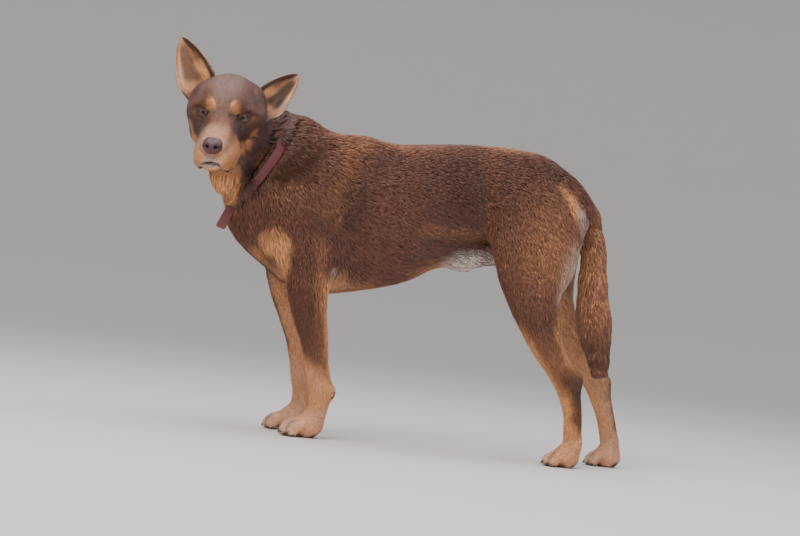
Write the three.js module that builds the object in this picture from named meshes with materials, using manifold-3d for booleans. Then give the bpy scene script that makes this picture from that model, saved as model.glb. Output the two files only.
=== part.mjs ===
// A standing working dog of medium build with pricked ears, as a still, life-size figure.
// Its head is turned to its left. Millimetres, +Z up. -X is forward along the trunk, +X is towards
// the tail, and -Y is the dog's left side.
// The flesh is one distance field of ovals and tubes that melt into each other. Each sub-part is a
// piece of the surface round that field, parted from its neighbours by thin cuts. The coat counts
// as part of the surface.
import * as THREE from "three";
import { mergeVertices } from "three/addons/utils/BufferGeometryUtils.js";
import Module from "manifold-3d";

const wasm = await Module();
wasm.setup();

// ---------------------------------------------------------------- driving dimensions
const GAP = 0.3; // between neighbouring sub-parts
const SMOOTHNESS = 1.8; // how far a facet may lie off the true surface, over what its own size asks for
const LEFT = -1;
const RIGHT = 1;
const SPINE_BEND = 2.0e-4; // sideways curve of the trunk towards the left side at both ends, per mm
const SPINE_STRAIGHT_AT = 175; // where along the trunk the spine points straight ahead
const SOLE_DEPTH = 1.6; // how much of each pad the floor flattens
const EYE_RADIUS = 10.8;
const EYE_SPACING = 59;

// The head's own frame: origin midway between the eyes, +X to the nose, +Y to its left, +Z up.
const HEAD_AT = new THREE.Vector3(-174, -128, 495);
const HEAD_TURN = THREE.MathUtils.degToRad(-93); // from +X, about +Z
const HEAD_NOD = THREE.MathUtils.degToRad(19.5); // nose down
const HEAD_TILT = THREE.MathUtils.degToRad(1.5); // left ear down

const COLLAR_AT = new THREE.Vector3(-121, -9, 438);
const COLLAR = { width: 15, thickness: 3.2, sunk: 2.2 }; // sunk: how deep its middle lies in the coat

// ---------------------------------------------------------------- small geometry helpers
const { clamp, lerp } = THREE.MathUtils;

/** Where the spine lies sideways, at a place along the trunk. */
const spine = (x) => -SPINE_BEND * (x - SPINE_STRAIGHT_AT) ** 2;

/** Melts two distances into each other over a width of `blend` mm. */
function melt(a, b, blend) {
  const share = Math.max(blend - Math.abs(a - b), 0) / blend;
  return Math.min(a, b) - (share * share * blend) / 4;
}

/** Joins parts [distance, blend] into one flesh, each melting into those before it. */
const flesh = (...parts) => (x, y, z) =>
  parts.reduce((d, [part, blend]) => melt(d, part(x, y, z), blend), 1e3);

/** The same field seen from a turned and moved frame. */
function placed(field, frame) {
  const e = frame.clone().invert().elements;
  return (x, y, z) =>
    field(
      e[0] * x + e[4] * y + e[8] * z + e[12],
      e[1] * x + e[5] * y + e[9] * z + e[13],
      e[2] * x + e[6] * y + e[10] * z + e[14],
    );
}

/** Leaves a field out of account further than 70 mm outside its box, where nothing of it is felt. */
const near = (field, low, high) => (x, y, z) => {
  const off = Math.max(low[0] - x, x - high[0], low[1] - y, y - high[1], low[2] - z, z - high[2]);
  return off > 70 ? off : field(x, y, z);
};

/** Hollows a field where another one lies, with a soft rim. */
const hollow = (field, dent, blend) => (x, y, z) => -melt(-field(x, y, z), dent(x, y, z), blend);

/** An oval: its centre, its three half-sizes, and its pitch about Y and yaw about Z in degrees. */
function oval(centre, half, pitch = 0, yaw = 0) {
  const frame = new THREE.Matrix4()
    .makeRotationZ(THREE.MathUtils.degToRad(yaw))
    .multiply(new THREE.Matrix4().makeRotationY(THREE.MathUtils.degToRad(pitch)))
    .setPosition(...centre);
  const [a, b, c] = half;
  return placed((x, y, z) => {
    const reach = Math.hypot(x / a, y / b, z / c);
    const slope = Math.hypot(x / a / a, y / b / b, z / c / c);
    return slope < 1e-6 ? -Math.min(a, b, c) : ((reach - 1) * reach) / slope;
  }, frame);
}

/** Two ovals, mirrored across Y = 0. */
function pair([x, y, z], half, pitch = 0, yaw = 0) {
  const left = oval([x, y, z], half, pitch, yaw);
  const right = oval([x, -y, z], half, pitch, -yaw);
  return (px, py, pz) => Math.min(left(px, py, pz), right(px, py, pz));
}

/**
 * An oval tube on a smooth line through joints [x, y, z, depth, width]. Depth and width are
 * half-sizes; depth is measured along `ref` and width across it.
 */
function tube(joints, ref, steps = 4) {
  const curve = (corners) => new THREE.CatmullRomCurve3(corners, false, "centripetal");
  const line = curve(joints.map(([x, y, z]) => new THREE.Vector3(x, y, z)));
  const sizes = curve(joints.map((joint) => new THREE.Vector3(joint[3], joint[4], 0)));
  const count = (joints.length - 1) * steps;
  const links = [];
  for (let i = 0; i < count; i++) {
    const [from, to] = [line.getPoint(i / count), line.getPoint((i + 1) / count)];
    const [s0, s1] = [sizes.getPoint(i / count), sizes.getPoint((i + 1) / count)];
    const axis = to.clone().sub(from);
    const length = axis.length();
    axis.divideScalar(length);
    const side = new THREE.Vector3().crossVectors(axis, ref).normalize();
    const fore = new THREE.Vector3().crossVectors(side, axis);
    links.push({ from, axis, length, side, fore, s0, s1 });
  }
  return (x, y, z) => {
    let nearest = 1e3;
    for (const { from, axis, length, side, fore, s0, s1 } of links) {
      const [dx, dy, dz] = [x - from.x, y - from.y, z - from.z];
      const run = dx * axis.x + dy * axis.y + dz * axis.z;
      const t = clamp(run / length, 0, 1);
      const depth = lerp(s0.x, s1.x, t);
      const width = lerp(s0.y, s1.y, t);
      const over = (run - t * length) / Math.min(depth, width);
      const f = (dx * fore.x + dy * fore.y + dz * fore.z) / depth;
      const s = (dx * side.x + dy * side.y + dz * side.z) / width;
      const reach = Math.hypot(f, s, over);
      const slope = Math.hypot(f / depth, s / width, over / Math.min(depth, width));
      const d = slope < 1e-6 ? -Math.min(depth, width) : ((reach - 1) * reach) / slope;
      if (d < nearest) nearest = d;
    }
    return nearest;
  };
}

/** A function of place that runs smoothly through rows of [place, ...values]. */
function through(rows) {
  const slope = (i, c) => {
    const [a, b] = [rows[Math.max(i - 1, 0)], rows[Math.min(i + 1, rows.length - 1)]];
    return (b[c] - a[c]) / (b[0] - a[0]);
  };
  const slopes = rows.map((row, i) => row.map((_, c) => (c ? slope(i, c) : 0)));
  return (place) => {
    let i = 0;
    while (i < rows.length - 2 && place > rows[i + 1][0]) i++;
    const [a, b] = [rows[i], rows[i + 1]];
    const span = b[0] - a[0];
    const t = clamp((place - a[0]) / span, 0, 1);
    const [t2, t3] = [t * t, t * t * t];
    return a.slice(1).map((_, k) => {
      const c = k + 1;
      return (
        (2 * t3 - 3 * t2 + 1) * a[c] +
        (t3 - 2 * t2 + t) * span * slopes[i][c] +
        (3 * t2 - 2 * t3) * b[c] +
        (t3 - t2) * span * slopes[i + 1][c]
      );
    });
  };
}

// ---------------------------------------------------------------- the trunk and neck
// Sections of the trunk: place, top, underside, half-width, and the height where it is widest.
const TRUNK_SECTIONS = through([
  [-146, 366, 328, 12, 346],
  [-124, 420, 294, 44, 355],
  [-92, 456, 266, 64, 362],
  [-50, 484, 240, 77, 362],
  [0, 487, 230, 82, 362],
  [50, 493, 238, 86, 366],
  [100, 489, 251, 91, 372],
  [150, 494, 270, 92, 382],
  [205, 500, 312, 84, 402],
  [255, 503, 336, 74, 416],
  [300, 503, 344, 75, 420],
  [350, 494, 348, 76, 415],
  [395, 464, 360, 64, 410],
  [422, 436, 384, 36, 408],
  [440, 414, 396, 10, 404],
]);

function ribcageAndBelly(x, y, z) {
  const [top, bottom, half, widest] = TRUNK_SECTIONS(x);
  const across = (y - spine(x)) / half;
  const rise = z > widest ? top - widest : widest - bottom;
  const up = (z - widest) / rise;
  const reach = Math.hypot(across, up);
  const slope = Math.hypot(across / half, up / rise);
  const past = Math.max(-146 - x, x - 440, 0);
  return (slope < 1e-6 ? -half : ((reach - 1) * reach) / slope) + past;
}

const neck = tube(
  [
    [-168, -60, 502, 46, 48],
    [-161, -34, 492, 58, 54],
    [-138, -12, 470, 66, 60],
    [-104, -6, 446, 70, 65],
    [-62, -8, 424, 78, 73],
    [-15, -8, 396, 82, 78],
  ],
  new THREE.Vector3(0, 0, 1),
);

const trunk = flesh(
  [ribcageAndBelly, 1],
  [oval([-118, spine(-118), 352], [34, 40, 46], 20), 40], // breastbone point
  [oval([240, spine(240), 311], [66, 15, 22], 2), 30], // sheath under the belly, with its hair
  [oval([44, spine(44) - 44, 457], [54, 30, 34]), 30], // tops of the shoulder blades
  [oval([44, spine(44) + 44, 457], [54, 30, 34]), 30],
  [oval([364, spine(364) - 34, 424], [56, 36, 44], 28), 24], // rump
  [oval([364, spine(364) + 34, 424], [56, 36, 44], 28), 24],
);

const neckAndThroat = flesh(
  [neck, 1],
  [oval([-159, -42, 420], [38, 36, 50], 12, 20), 35], // the throat's fringe
  [oval([-62, -12, 479], [33, 34, 36], 6), 30], // thick hair of the nape
);

// ---------------------------------------------------------------- the head, in its own frame
const headFrame = new THREE.Matrix4()
  .makeRotationZ(HEAD_TURN)
  .multiply(new THREE.Matrix4().makeRotationY(HEAD_NOD))
  .multiply(new THREE.Matrix4().makeRotationX(-HEAD_TILT))
  .setPosition(HEAD_AT);

const skull = flesh(
  [oval([-52, 0, 6], [58, 52, 45]), 1], // braincase
  [oval([-16, 0, 14], [34, 38, 30], 12), 24], // forehead
  [pair([-2, 22, 12], [15, 13, 9], 10, -20), 12], // brows
  [pair([-26, 44, -8], [34, 17, 17], 4, -18), 18], // cheekbones
  [pair([-46, 40, -34], [38, 20, 33], 0, -6), 22], // jaw muscles
  [oval([-52, 0, -52], [40, 40, 26]), 24], // throat between the jaws
  [oval([-64, 40, 12], [26, 16, 21], 0, 24), 16], // root of the left ear
  [oval([-62, -42, 6], [24, 18, 24], 0, -20), 16], // root of the right ear
);

const muzzle = flesh(
  [
    tube(
      [
        [-6, 0, -26, 25, 36],
        [20, 0, -27, 21, 30],
        [50, 0, -28.5, 18, 25.5],
        [74, 0, -31, 15, 22],
        [80, 0, -33, 12, 18],
      ],
      new THREE.Vector3(0, 0, 1),
    ),
    1,
  ],
  [pair([34, 21, -54], [37, 15, 22], 2, -8), 12], // upper lips, at the cheek
  [pair([62, 15, -52], [25, 15, 16], 2, -4), 10], // upper lips, at the front
  [pair([47, 22, -65], [18, 9, 15], 6, -10), 8], // hanging corners of the lips
  [
    tube(
      [
        [-24, 0, -57, 18, 34],
        [20, 0, -59, 15, 23],
        [56, 0, -62, 12, 18],
        [76, 0, -63, 10.5, 14],
      ],
      new THREE.Vector3(0, 0, 1),
    ),
    7,
  ], // lower jaw
);

const sockets = pair([4, 34, -1], [15, 13, 10], 0, 20);
const head = near(hollow(flesh([skull, 1], [muzzle, 22]), sockets, 6), [-115, -70, -100], [105, 70, 60]);

// ---------------------------------------------------------------- the legs
const FORE_AND_AFT = new THREE.Vector3(1, 0, 0);

/** A paw on the floor: `at` is its middle, `turn` its heading away from straight ahead, in degrees. */
function pawFrame({ at, turn }) {
  return new THREE.Matrix4()
    .makeRotationZ(Math.PI + THREE.MathUtils.degToRad(turn))
    .setPosition(at[0], at[1], -SOLE_DEPTH);
}

// Toes from one side of a paw to the other: sideways place and how far forward each tip reaches.
const TOES = [
  [-18.5, 25],
  [-6.8, 34],
  [6.8, 34],
  [18.5, 25],
];

function pawFlesh(size) {
  const toes = TOES.map(([side, tip]) => [
    tube(
      [
        [2, side * 0.7, 21, 11, 9],
        [tip - 16, side * 0.95, 20, 9.6, 8.4],
        [tip - 7, side, 10.5, 9.2, 8],
      ].map((joint) => joint.map((v) => v * size)),
      new THREE.Vector3(0, 0, 1),
      3,
    ),
    3,
  ]);
  const middle = oval([-7 * size, 0, 18 * size], [26 * size, 21 * size, 18 * size]);
  return flesh([middle, 1], ...toes);
}

const LEGS = {
  foreleg_left: {
    paw: { at: [2, -60], turn: 16, size: 1 },
    line: [
      [-26, -58, 335, 50, 28],
      [-16, -64, 270, 39, 30],
      [-12, -64, 232, 34, 26],
      [-6, -62, 200, 29, 23],
      [6, -60, 160, 23.5, 18.5],
      [15, -58, 120, 19.5, 16],
      [22, -57, 90, 19.5, 17.5],
      [25, -57, 67, 17.5, 16],
      [24, -57, 45, 17, 17],
      [18, -58, 28, 19, 20],
    ],
    muscles: [
      [[-34, -62, 352], [44, 27, 82], 24],
      [[-28, -64, 300], [46, 28, 36], 30],
      [[44, -58, 76], [9, 8, 11], 0],
    ],
  },
  foreleg_right: {
    paw: { at: [-32, 56], turn: -6, size: 1 },
    line: [
      [-60, 56, 335, 50, 28],
      [-56, 60, 270, 38, 30],
      [-48, 60, 232, 33, 26],
      [-38, 59, 200, 28, 23],
      [-25, 58, 160, 23, 18.5],
      [-17, 57, 120, 19, 16],
      [-11, 56, 90, 19, 17.5],
      [-8, 56, 67, 16.5, 16],
      [-9, 56, 45, 16, 17],
      [-16, 56, 28, 19, 20],
    ],
    muscles: [
      [[-50, 60, 352], [44, 27, 82], 24],
      [[-62, 60, 300], [44, 28, 36], 30],
      [[12, 56, 74], [9, 8, 11], 0],
    ],
  },
  hindleg_left: {
    paw: { at: [421, -64], turn: 8, size: 0.87 },
    line: [
      [346, -52, 400, 74, 34],
      [341, -60, 345, 70, 40],
      [342, -66, 300, 57, 39],
      [349, -68, 258, 42, 33],
      [361, -67, 220, 31, 26],
      [378, -66, 188, 26, 21],
      [401, -64, 156, 21.5, 16],
      [416, -63, 134, 21, 15],
      [424, -63, 112, 18, 15],
      [431, -63, 86, 15.5, 14],
      [434, -63, 56, 15.5, 14],
      [436, -63, 36, 16.5, 16],
      [429, -63, 24, 17, 18],
    ],
    muscles: [
      [[330, -54, 366], [52, 34, 70], 14],
      [[376, -46, 340], [38, 30, 62], -6],
      [[430, -62, 140], [11, 9, 16], 20],
    ],
  },
  hindleg_right: {
    paw: { at: [500, 62], turn: -4, size: 0.89 },
    line: [
      [354, 50, 400, 72, 34],
      [356, 58, 345, 68, 40],
      [366, 64, 300, 55, 39],
      [384, 66, 258, 41, 33],
      [408, 66, 220, 31, 26],
      [434, 65, 188, 25.5, 21],
      [460, 64, 156, 21.5, 16],
      [476, 63, 134, 21, 15],
      [485, 62, 112, 18, 15],
      [495, 62, 86, 15.5, 14],
      [504, 62, 56, 15.5, 14],
      [509, 62, 36, 16.5, 16],
      [507, 62, 24, 18, 19],
    ],
    muscles: [
      [[334, 54, 366], [52, 34, 70], 14],
      [[382, 46, 340], [38, 30, 62], -6],
      [[485, 62, 135], [11, 9, 15], 20],
    ],
  },
};

function legFlesh({ line, muscles, paw }) {
  const [x, y] = paw.at;
  const foot = near(placed(pawFlesh(paw.size), pawFrame(paw)), [x - 30, y - 30, 0], [x + 30, y + 30, 30]);
  const limb = flesh(
    [tube(line, FORE_AND_AFT), 1],
    ...muscles.map(([centre, half, pitch]) => [oval(centre, half, pitch), 16]),
    [foot, 12],
  );
  return near(limb, [line[0][0] - 95, y - 40, 0], [x + 90, y + 40, 460]);
}

const legFields = Object.fromEntries(Object.entries(LEGS).map(([name, leg]) => [name, legFlesh(leg)]));

// ---------------------------------------------------------------- the whole body, and the tail
const body = flesh(
  [trunk, 1],
  [neckAndThroat, 44],
  [placed(head, headFrame), 22],
  [legFields.foreleg_left, 30],
  [legFields.foreleg_right, 30],
  [legFields.hindleg_left, 34],
  [legFields.hindleg_right, 34],
);

const tail = tube(
  [
    [400, -12, 426, 13, 18],
    [418, -14, 409, 14, 19],
    [431, -14, 388, 16, 20],
    [438, -14, 362, 21, 20],
    [442, -13, 318, 25, 21],
    [447, -12, 272, 29, 23],
    [453, -11, 236, 32, 24],
    [461, -10, 205, 26, 20],
    [468, -9, 175, 20, 16],
    [473, -8, 152, 14, 12],
    [477, -8, 140, 8, 7],
  ],
  FORE_AND_AFT,
);

// ---------------------------------------------------------------- from a field to a solid
/** A closed three.js geometry as a solid for cutting and joining. */
function solid(geometry) {
  const plain = new THREE.BufferGeometry();
  plain.setAttribute("position", geometry.getAttribute("position").clone());
  if (geometry.index) plain.setIndex(geometry.index);
  const merged = mergeVertices(plain, 1e-4);
  return new wasm.Manifold(
    new wasm.Mesh({
      numProp: 3,
      vertProperties: merged.attributes.position.array,
      triVerts: new Uint32Array(merged.index.array),
    }),
  );
}

/**
 * Wraps a closed surface round a field inside a box of the given frame: one vertex in each grid
 * cell that the surface crosses, drawn onto the surface, with a four-sided face round each crossed
 * grid edge. `grow` moves it outwards.
 */
function wrap(field, { low, high, step, frame = new THREE.Matrix4(), grow = 0 }) {
  const back = frame.clone().invert();
  const point = new THREE.Vector3();
  const value = (x, y, z) => {
    point.set(x, y, z).applyMatrix4(frame);
    const outside = Math.max(
      low[0] + step[0] - x, x - high[0] + step[0],
      low[1] + step[1] - y, y - high[1] + step[1],
      low[2] + step[2] - z, z - high[2] + step[2],
    );
    return Math.max(field(point.x, point.y, point.z) - grow, outside);
  };
  const size = low.map((l, a) => Math.ceil((high[a] - l) / step[a]) + 1);
  const at = (i, j, k) => i + size[0] * (j + size[1] * k);
  const values = new Float32Array(size[0] * size[1] * size[2]);
  for (let k = 0; k < size[2]; k++)
    for (let j = 0; j < size[1]; j++)
      for (let i = 0; i < size[0]; i++)
        values[at(i, j, k)] = value(low[0] + i * step[0], low[1] + j * step[1], low[2] + k * step[2]);

  const vertices = [];
  const cellVertex = new Int32Array(values.length).fill(-1);
  const corners = [0, 1, 2, 3, 4, 5, 6, 7].map((c) => [c & 1, (c >> 1) & 1, c >> 2]);
  for (let k = 0; k < size[2] - 1; k++)
    for (let j = 0; j < size[1] - 1; j++)
      for (let i = 0; i < size[0] - 1; i++) {
        const v = corners.map(([a, b, c]) => values[at(i + a, j + b, k + c)]);
        const sum = [0, 0, 0];
        let crossings = 0;
        corners.forEach((from, m) =>
          [1, 2, 4].forEach((bit, axis) => {
            if (m & bit || v[m] < 0 === v[m | bit] < 0) return;
            const t = v[m] / (v[m] - v[m | bit]);
            from.forEach((c, a) => (sum[a] += a === axis ? t : c));
            crossings++;
          }),
        );
        if (!crossings) continue;
        cellVertex[at(i, j, k)] = vertices.length;
        vertices.push([i, j, k].map((n, a) => low[a] + (n + sum[a] / crossings) * step[a]));
      }

  const faces = [];
  const axes = [[1, 0, 0], [0, 1, 0], [0, 0, 1]];
  for (let k = 1; k < size[2] - 1; k++)
    for (let j = 1; j < size[1] - 1; j++)
      for (let i = 1; i < size[0] - 1; i++)
        axes.forEach((axis, a) => {
          const inside = values[at(i, j, k)] < 0;
          if (inside === values[at(i + axis[0], j + axis[1], k + axis[2])] < 0) return;
          const [u, w] = [axes[(a + 1) % 3], axes[(a + 2) % 3]];
          const cell = (p, q) =>
            cellVertex[at(i - p * u[0] - q * w[0], j - p * u[1] - q * w[1], k - p * u[2] - q * w[2])];
          const ring = [cell(1, 1), cell(0, 1), cell(0, 0), cell(1, 0)];
          faces.push(inside ? ring : ring.reverse());
        });

  settle(vertices, faces, value);
  const position = new Float32Array(vertices.flatMap((v) => point.set(...v).applyMatrix4(frame).toArray()));
  const gapOf = (a, b) => Math.hypot(...vertices[a].map((c, n) => c - vertices[b][n]));
  const triangles = faces.flatMap(([a, b, c, d]) =>
    gapOf(a, c) < gapOf(b, d) ? [a, b, c, a, c, d] : [a, b, d, b, c, d],
  );
  const fine = new THREE.BufferGeometry();
  fine.setAttribute("position", new THREE.BufferAttribute(position, 3));
  return solid(fine.setIndex(triangles)).simplify(SMOOTHNESS);
}

/** Opens places where a surface touches itself by a hair, so that each edge has just two faces. */
function parted(position, triangles) {
  const HAIR = 0.04;
  const places = new Map();
  for (let v = 0; v < position.length / 3; v++) {
    const key = Array.from(position.subarray(v * 3, v * 3 + 3), (c) => c.toFixed(2)).join();
    places.set(key, [...(places.get(key) ?? []), v]);
  }
  const groups = [...places.values()].filter((group) => group.length > 1);
  const touching = new Map(groups.flatMap((group) => group.map((v) => [v, group])));
  const around = new Map([...touching.keys()].map((v) => [v, []]));
  for (let i = 0; i < triangles.length; i++) {
    const v = triangles[i];
    if (!touching.has(v)) continue;
    const first = i - (i % 3);
    const others = [0, 1, 2].map((n) => triangles[first + n]).filter((o) => !touching.get(v).includes(o));
    around.get(v).push(...others);
  }
  const before = position.slice();
  for (const [v, near] of around) {
    if (!near.length) continue;
    const mean = (a) => near.reduce((sum, n) => sum + before[n * 3 + a], 0) / near.length;
    const way = [0, 1, 2].map((a) => mean(a) - before[v * 3 + a]);
    const length = Math.hypot(...way) || 1;
    way.forEach((w, a) => (position[v * 3 + a] += (HAIR * w) / length));
  }
}

/** Evens out the vertices and draws them onto the surface where the field's value is nothing. */
function settle(vertices, faces, value) {
  const around = vertices.map(() => new Set());
  for (const face of faces)
    face.forEach((v, n) => {
      around[v].add(face[(n + 1) % 4]);
      around[v].add(face[(n + 3) % 4]);
    });
  const REACH = 0.5; // mm each way when the field's slope is felt
  const draw = (p) => {
    for (let turn = 0; turn < 3; turn++) {
      const v = value(...p);
      const slope = p.map((_, a) => {
        const [more, less] = [p.slice(), p.slice()];
        more[a] += REACH;
        less[a] -= REACH;
        return (value(...more) - value(...less)) / (2 * REACH);
      });
      const steep = slope.reduce((sum, s) => sum + s * s, 0);
      if (steep < 0.05) return;
      slope.forEach((s, a) => (p[a] -= clamp((v * s) / steep, -4, 4)));
    }
  };
  vertices.forEach(draw);
  for (let turn = 0; turn < 2; turn++) {
    const before = vertices.map((v) => v.slice());
    vertices.forEach((v, i) => {
      const near = [...around[i]];
      v.forEach((_, a) => {
        const mean = near.reduce((sum, n) => sum + before[n][a], 0) / near.length;
        v[a] = lerp(before[i][a], mean, 0.5);
      });
    });
    vertices.forEach(draw);
  }
}

/** A box of material on the far side of a plane through `at`, used to part one sub-part from the next. */
function beyond(at, normal, gap = 0) {
  const REACH = 1600;
  const way = normal.clone().normalize();
  const turn = new THREE.Quaternion().setFromUnitVectors(new THREE.Vector3(1, 0, 0), way);
  const middle = at.clone().addScaledVector(way, REACH / 2 + gap);
  const place = new THREE.Matrix4().compose(middle, turn, new THREE.Vector3(1, 1, 1));
  return solid(new THREE.BoxGeometry(REACH, REACH, REACH).applyMatrix4(place));
}

/** A block with a rounded outline in X and Z, from a plane `inner` mm off the middle outwards to one side. */
function sideBlock(outline, side, inner, gap = 0) {
  const OUTWARDS = 200;
  const corners = outline.map(([x, z]) => new THREE.Vector3(x, z, 0));
  const curve = new THREE.CatmullRomCurve3(corners, true, "centripetal");
  const points = curve.getPoints(26).slice(0, -1);
  const shape = new THREE.Shape(
    points.map((point, i) => {
      const along = curve.getTangent(i / points.length);
      return new THREE.Vector2(point.x + along.y * gap, point.y - along.x * gap);
    }),
  );
  const block = new THREE.ExtrudeGeometry(shape, { depth: OUTWARDS, bevelEnabled: false });
  block.rotateX(Math.PI / 2).translate(0, OUTWARDS, 0);
  block.translate(0, side === RIGHT ? inner - gap : inner + gap - OUTWARDS, 0);
  return solid(block);
}

// ---------------------------------------------------------------- the cuts
const HEAD_CUT = { at: new THREE.Vector3(-150, -50, 488), normal: new THREE.Vector3(-0.5, -0.86, 0.04) };
const NECK_CUT = { at: new THREE.Vector3(-6, 0, 500), normal: new THREE.Vector3(-0.727, 0, 0.686) };
const BRISKET = 236; // height below which the forelegs stand clear of the chest
const MIDLINE = -7; // the plane between the hind legs
const CROTCH = 302; // where along the trunk the thighs meet

// Outlines run anticlockwise as seen from the left, so that a gap is added outwards.
const UPPER_ARM = [
  [-92, 262], [-60, 214], [-10, 206], [52, 214], [66, 262], [46, 320], [0, 366], [-48, 362], [-84, 318],
];
const THIGH = [
  [236, 300], [300, 150], [400, -60], [540, -60], [600, 150], [560, 380], [470, 420], [380, 424],
  [300, 414], [258, 372],
];

function legSpace(name, gap = 0) {
  const side = name.endsWith("left") ? LEFT : RIGHT;
  if (name.startsWith("hind")) {
    const rear = sideBlock(THIGH, side, MIDLINE + side * (GAP / 2), gap).trimByPlane([1, 0, 0], CROTCH - gap);
    return sideBlock(THIGH, side, side * 26, gap).add(rear);
  }
  const forward = side === RIGHT ? -26 : 0;
  const upper = sideBlock(UPPER_ARM.map(([x, z]) => [x + forward, z]), side, side * 38, gap);
  const reach = { x: 200 + 2 * gap, y: 120 + gap, z: BRISKET + 60 + gap };
  const lower = new THREE.BoxGeometry(reach.x, reach.y, reach.z);
  lower.translate(-20, side * (24 + reach.y / 2 - gap), BRISKET + gap - reach.z / 2);
  return upper.add(solid(lower));
}

const floorUp = beyond(new THREE.Vector3(0, 0, 0), new THREE.Vector3(0, 0, 1));

// ---------------------------------------------------------------- ears, eyes, claws and collar
/** The outline of an ear from root (0) to tip (1): its half-width as a share of the widest. */
const earWidth = through([
  [0, 0.8],
  [0.22, 1.0],
  [0.5, 0.88],
  [0.75, 0.6],
  [0.92, 0.29],
  [1, 0.04],
]);
const earCurl = through([
  [0, 1.5],
  [0.3, 1.15],
  [0.7, 0.75],
  [1, 0.4],
]);

/** A pricked ear: a pointed leaf, curled round its own length, open to the front. */
function ear({ at, axis, outer, side, length, half, thickness, bend }) {
  const up = new THREE.Vector3(...axis).normalize();
  const out = new THREE.Vector3(...outer).normalize();
  out.addScaledVector(up, -out.dot(up)).normalize();
  const open = new THREE.Vector3().crossVectors(up, out).multiplyScalar(side === RIGHT ? 1 : -1);
  const ALONG = 7;
  const ACROSS = 7;
  const position = [];
  for (const face of [1, -1])
    for (let i = 0; i <= ALONG; i++)
      for (let j = 0; j <= ACROSS; j++) {
        const s = i / ALONG;
        const across = (2 * j) / ACROSS - 1;
        const [share] = earWidth(s);
        const [curl] = earCurl(s);
        const radius = (half * share) / Math.sin(Math.min(curl, Math.PI / 2));
        const angle = across * curl;
        const rim = Math.sqrt(Math.max(1 - across ** 4, 0)) * Math.sqrt(Math.max(1 - s ** 6, 0));
        const wall = radius + (face * thickness * rim) / 2;
        const p = new THREE.Vector3(...at)
          .addScaledVector(up, length * s)
          .addScaledVector(out, wall * Math.sin(angle) + bend * s * s)
          .addScaledVector(open, radius * Math.cos(curl) - wall * Math.cos(angle) + 0.06 * length * s * s);
        position.push(...p);
      }
  const row = ACROSS + 1;
  const back = (ALONG + 1) * row;
  const index = [];
  const quad = (a, b, c, d) => index.push(a, b, c, a, c, d);
  for (let i = 0; i < ALONG; i++)
    for (let j = 0; j < ACROSS; j++) {
      const [a, b, c, d] = [i * row + j, i * row + j + 1, (i + 1) * row + j + 1, (i + 1) * row + j];
      quad(a, b, c, d);
      quad(back + a, back + d, back + c, back + b);
    }
  for (let j = 0; j < ACROSS; j++) {
    quad(j, back + j, back + j + 1, j + 1);
    const t = ALONG * row + j;
    quad(t, t + 1, back + t + 1, back + t);
  }
  for (let i = 0; i < ALONG; i++) {
    const [a, b] = [i * row, (i + 1) * row];
    quad(a, b, back + b, back + a);
    quad(a + ACROSS, back + a + ACROSS, back + b + ACROSS, b + ACROSS);
  }
  if (side === LEFT) index.reverse();
  const geometry = new THREE.BufferGeometry()
    .setAttribute("position", new THREE.BufferAttribute(new Float32Array(position), 3))
    .setIndex(index);
  return solid(geometry.applyMatrix4(headFrame));
}

const EARS = {
  ear_left: {
    side: LEFT, at: [-48, 54, 3], axis: [-0.74, 0.48, 0.5], outer: [0.15, 0.66, -0.73],
    length: 93, half: 28, thickness: 5, bend: 0,
  },
  ear_right: {
    side: RIGHT, at: [-55, -48, 17], axis: [-0.42, -0.46, 0.8], outer: [0.1, -0.9, -0.42],
    length: 94, half: 31, thickness: 5, bend: 0,
  },
};

const eyePlace = (side) => [-8.5, (-side * EYE_SPACING) / 2, -1.5];

function eye(side, grow = 0) {
  const ball = new THREE.SphereGeometry(EYE_RADIUS + grow, 12, 7);
  return solid(ball.translate(...eyePlace(side)).applyMatrix4(headFrame));
}

/** The room in front of an eyeball, between the lids: an oval dent along the eye's own direction. */
function lidOpening(side) {
  const [x, y, z] = eyePlace(side);
  const outwards = -side * THREE.MathUtils.degToRad(14);
  const AHEAD = 13; // from the middle of the eye to the middle of the dent
  const dent = new THREE.SphereGeometry(1, 12, 7).scale(16, 12.5, 9).rotateZ(outwards);
  dent.translate(x + AHEAD * Math.cos(outwards), y + AHEAD * Math.sin(outwards), z);
  return solid(dent.applyMatrix4(headFrame));
}

/** The leather of the nose. */
function noseLeather(grow = 0) {
  const pad = new THREE.SphereGeometry(1, 12, 8).scale(13.5 + grow, 16 + grow, 13.5 + grow);
  return solid(pad.rotateY(0.15).translate(84.5, 0, -29).applyMatrix4(headFrame));
}

/** A claw: a tapered horn that starts in the end of a toe and bends forwards and down. */
function claw(frame, root, size, grow = 0) {
  const LENGTH = 13 * size;
  const horn = new THREE.CylinderGeometry(1.1 + grow, 3.2 * size + grow, LENGTH + grow, 5, 2);
  horn.translate(0, LENGTH / 2, 0);
  const { position } = horn.attributes;
  for (let i = 0; i < position.count; i++) {
    const along = position.getY(i);
    const bend = THREE.MathUtils.degToRad((70 * along) / 22);
    position.setX(i, position.getX(i) + along * Math.sin(bend) * 0.6);
    position.setY(i, along * Math.cos(bend * 0.7));
  }
  // From +Y to forwards and slightly down, with the bend towards the floor.
  horn.rotateX(Math.PI / 2).rotateY(THREE.MathUtils.degToRad(112)).translate(...root);
  return solid(horn.applyMatrix4(frame));
}

const collarFrame = new THREE.Matrix4();
{
  // Its own +Z runs along the neck; +X points down to the throat.
  const downToThroat = new THREE.Vector3(-0.46, -0.08, -0.885).normalize();
  const across = new THREE.Vector3(0.37, -0.92, -0.07);
  const along = new THREE.Vector3().crossVectors(downToThroat, across).normalize();
  across.crossVectors(along, downToThroat).normalize();
  collarFrame.makeBasis(downToThroat, across, along).setPosition(COLLAR_AT);
}

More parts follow.
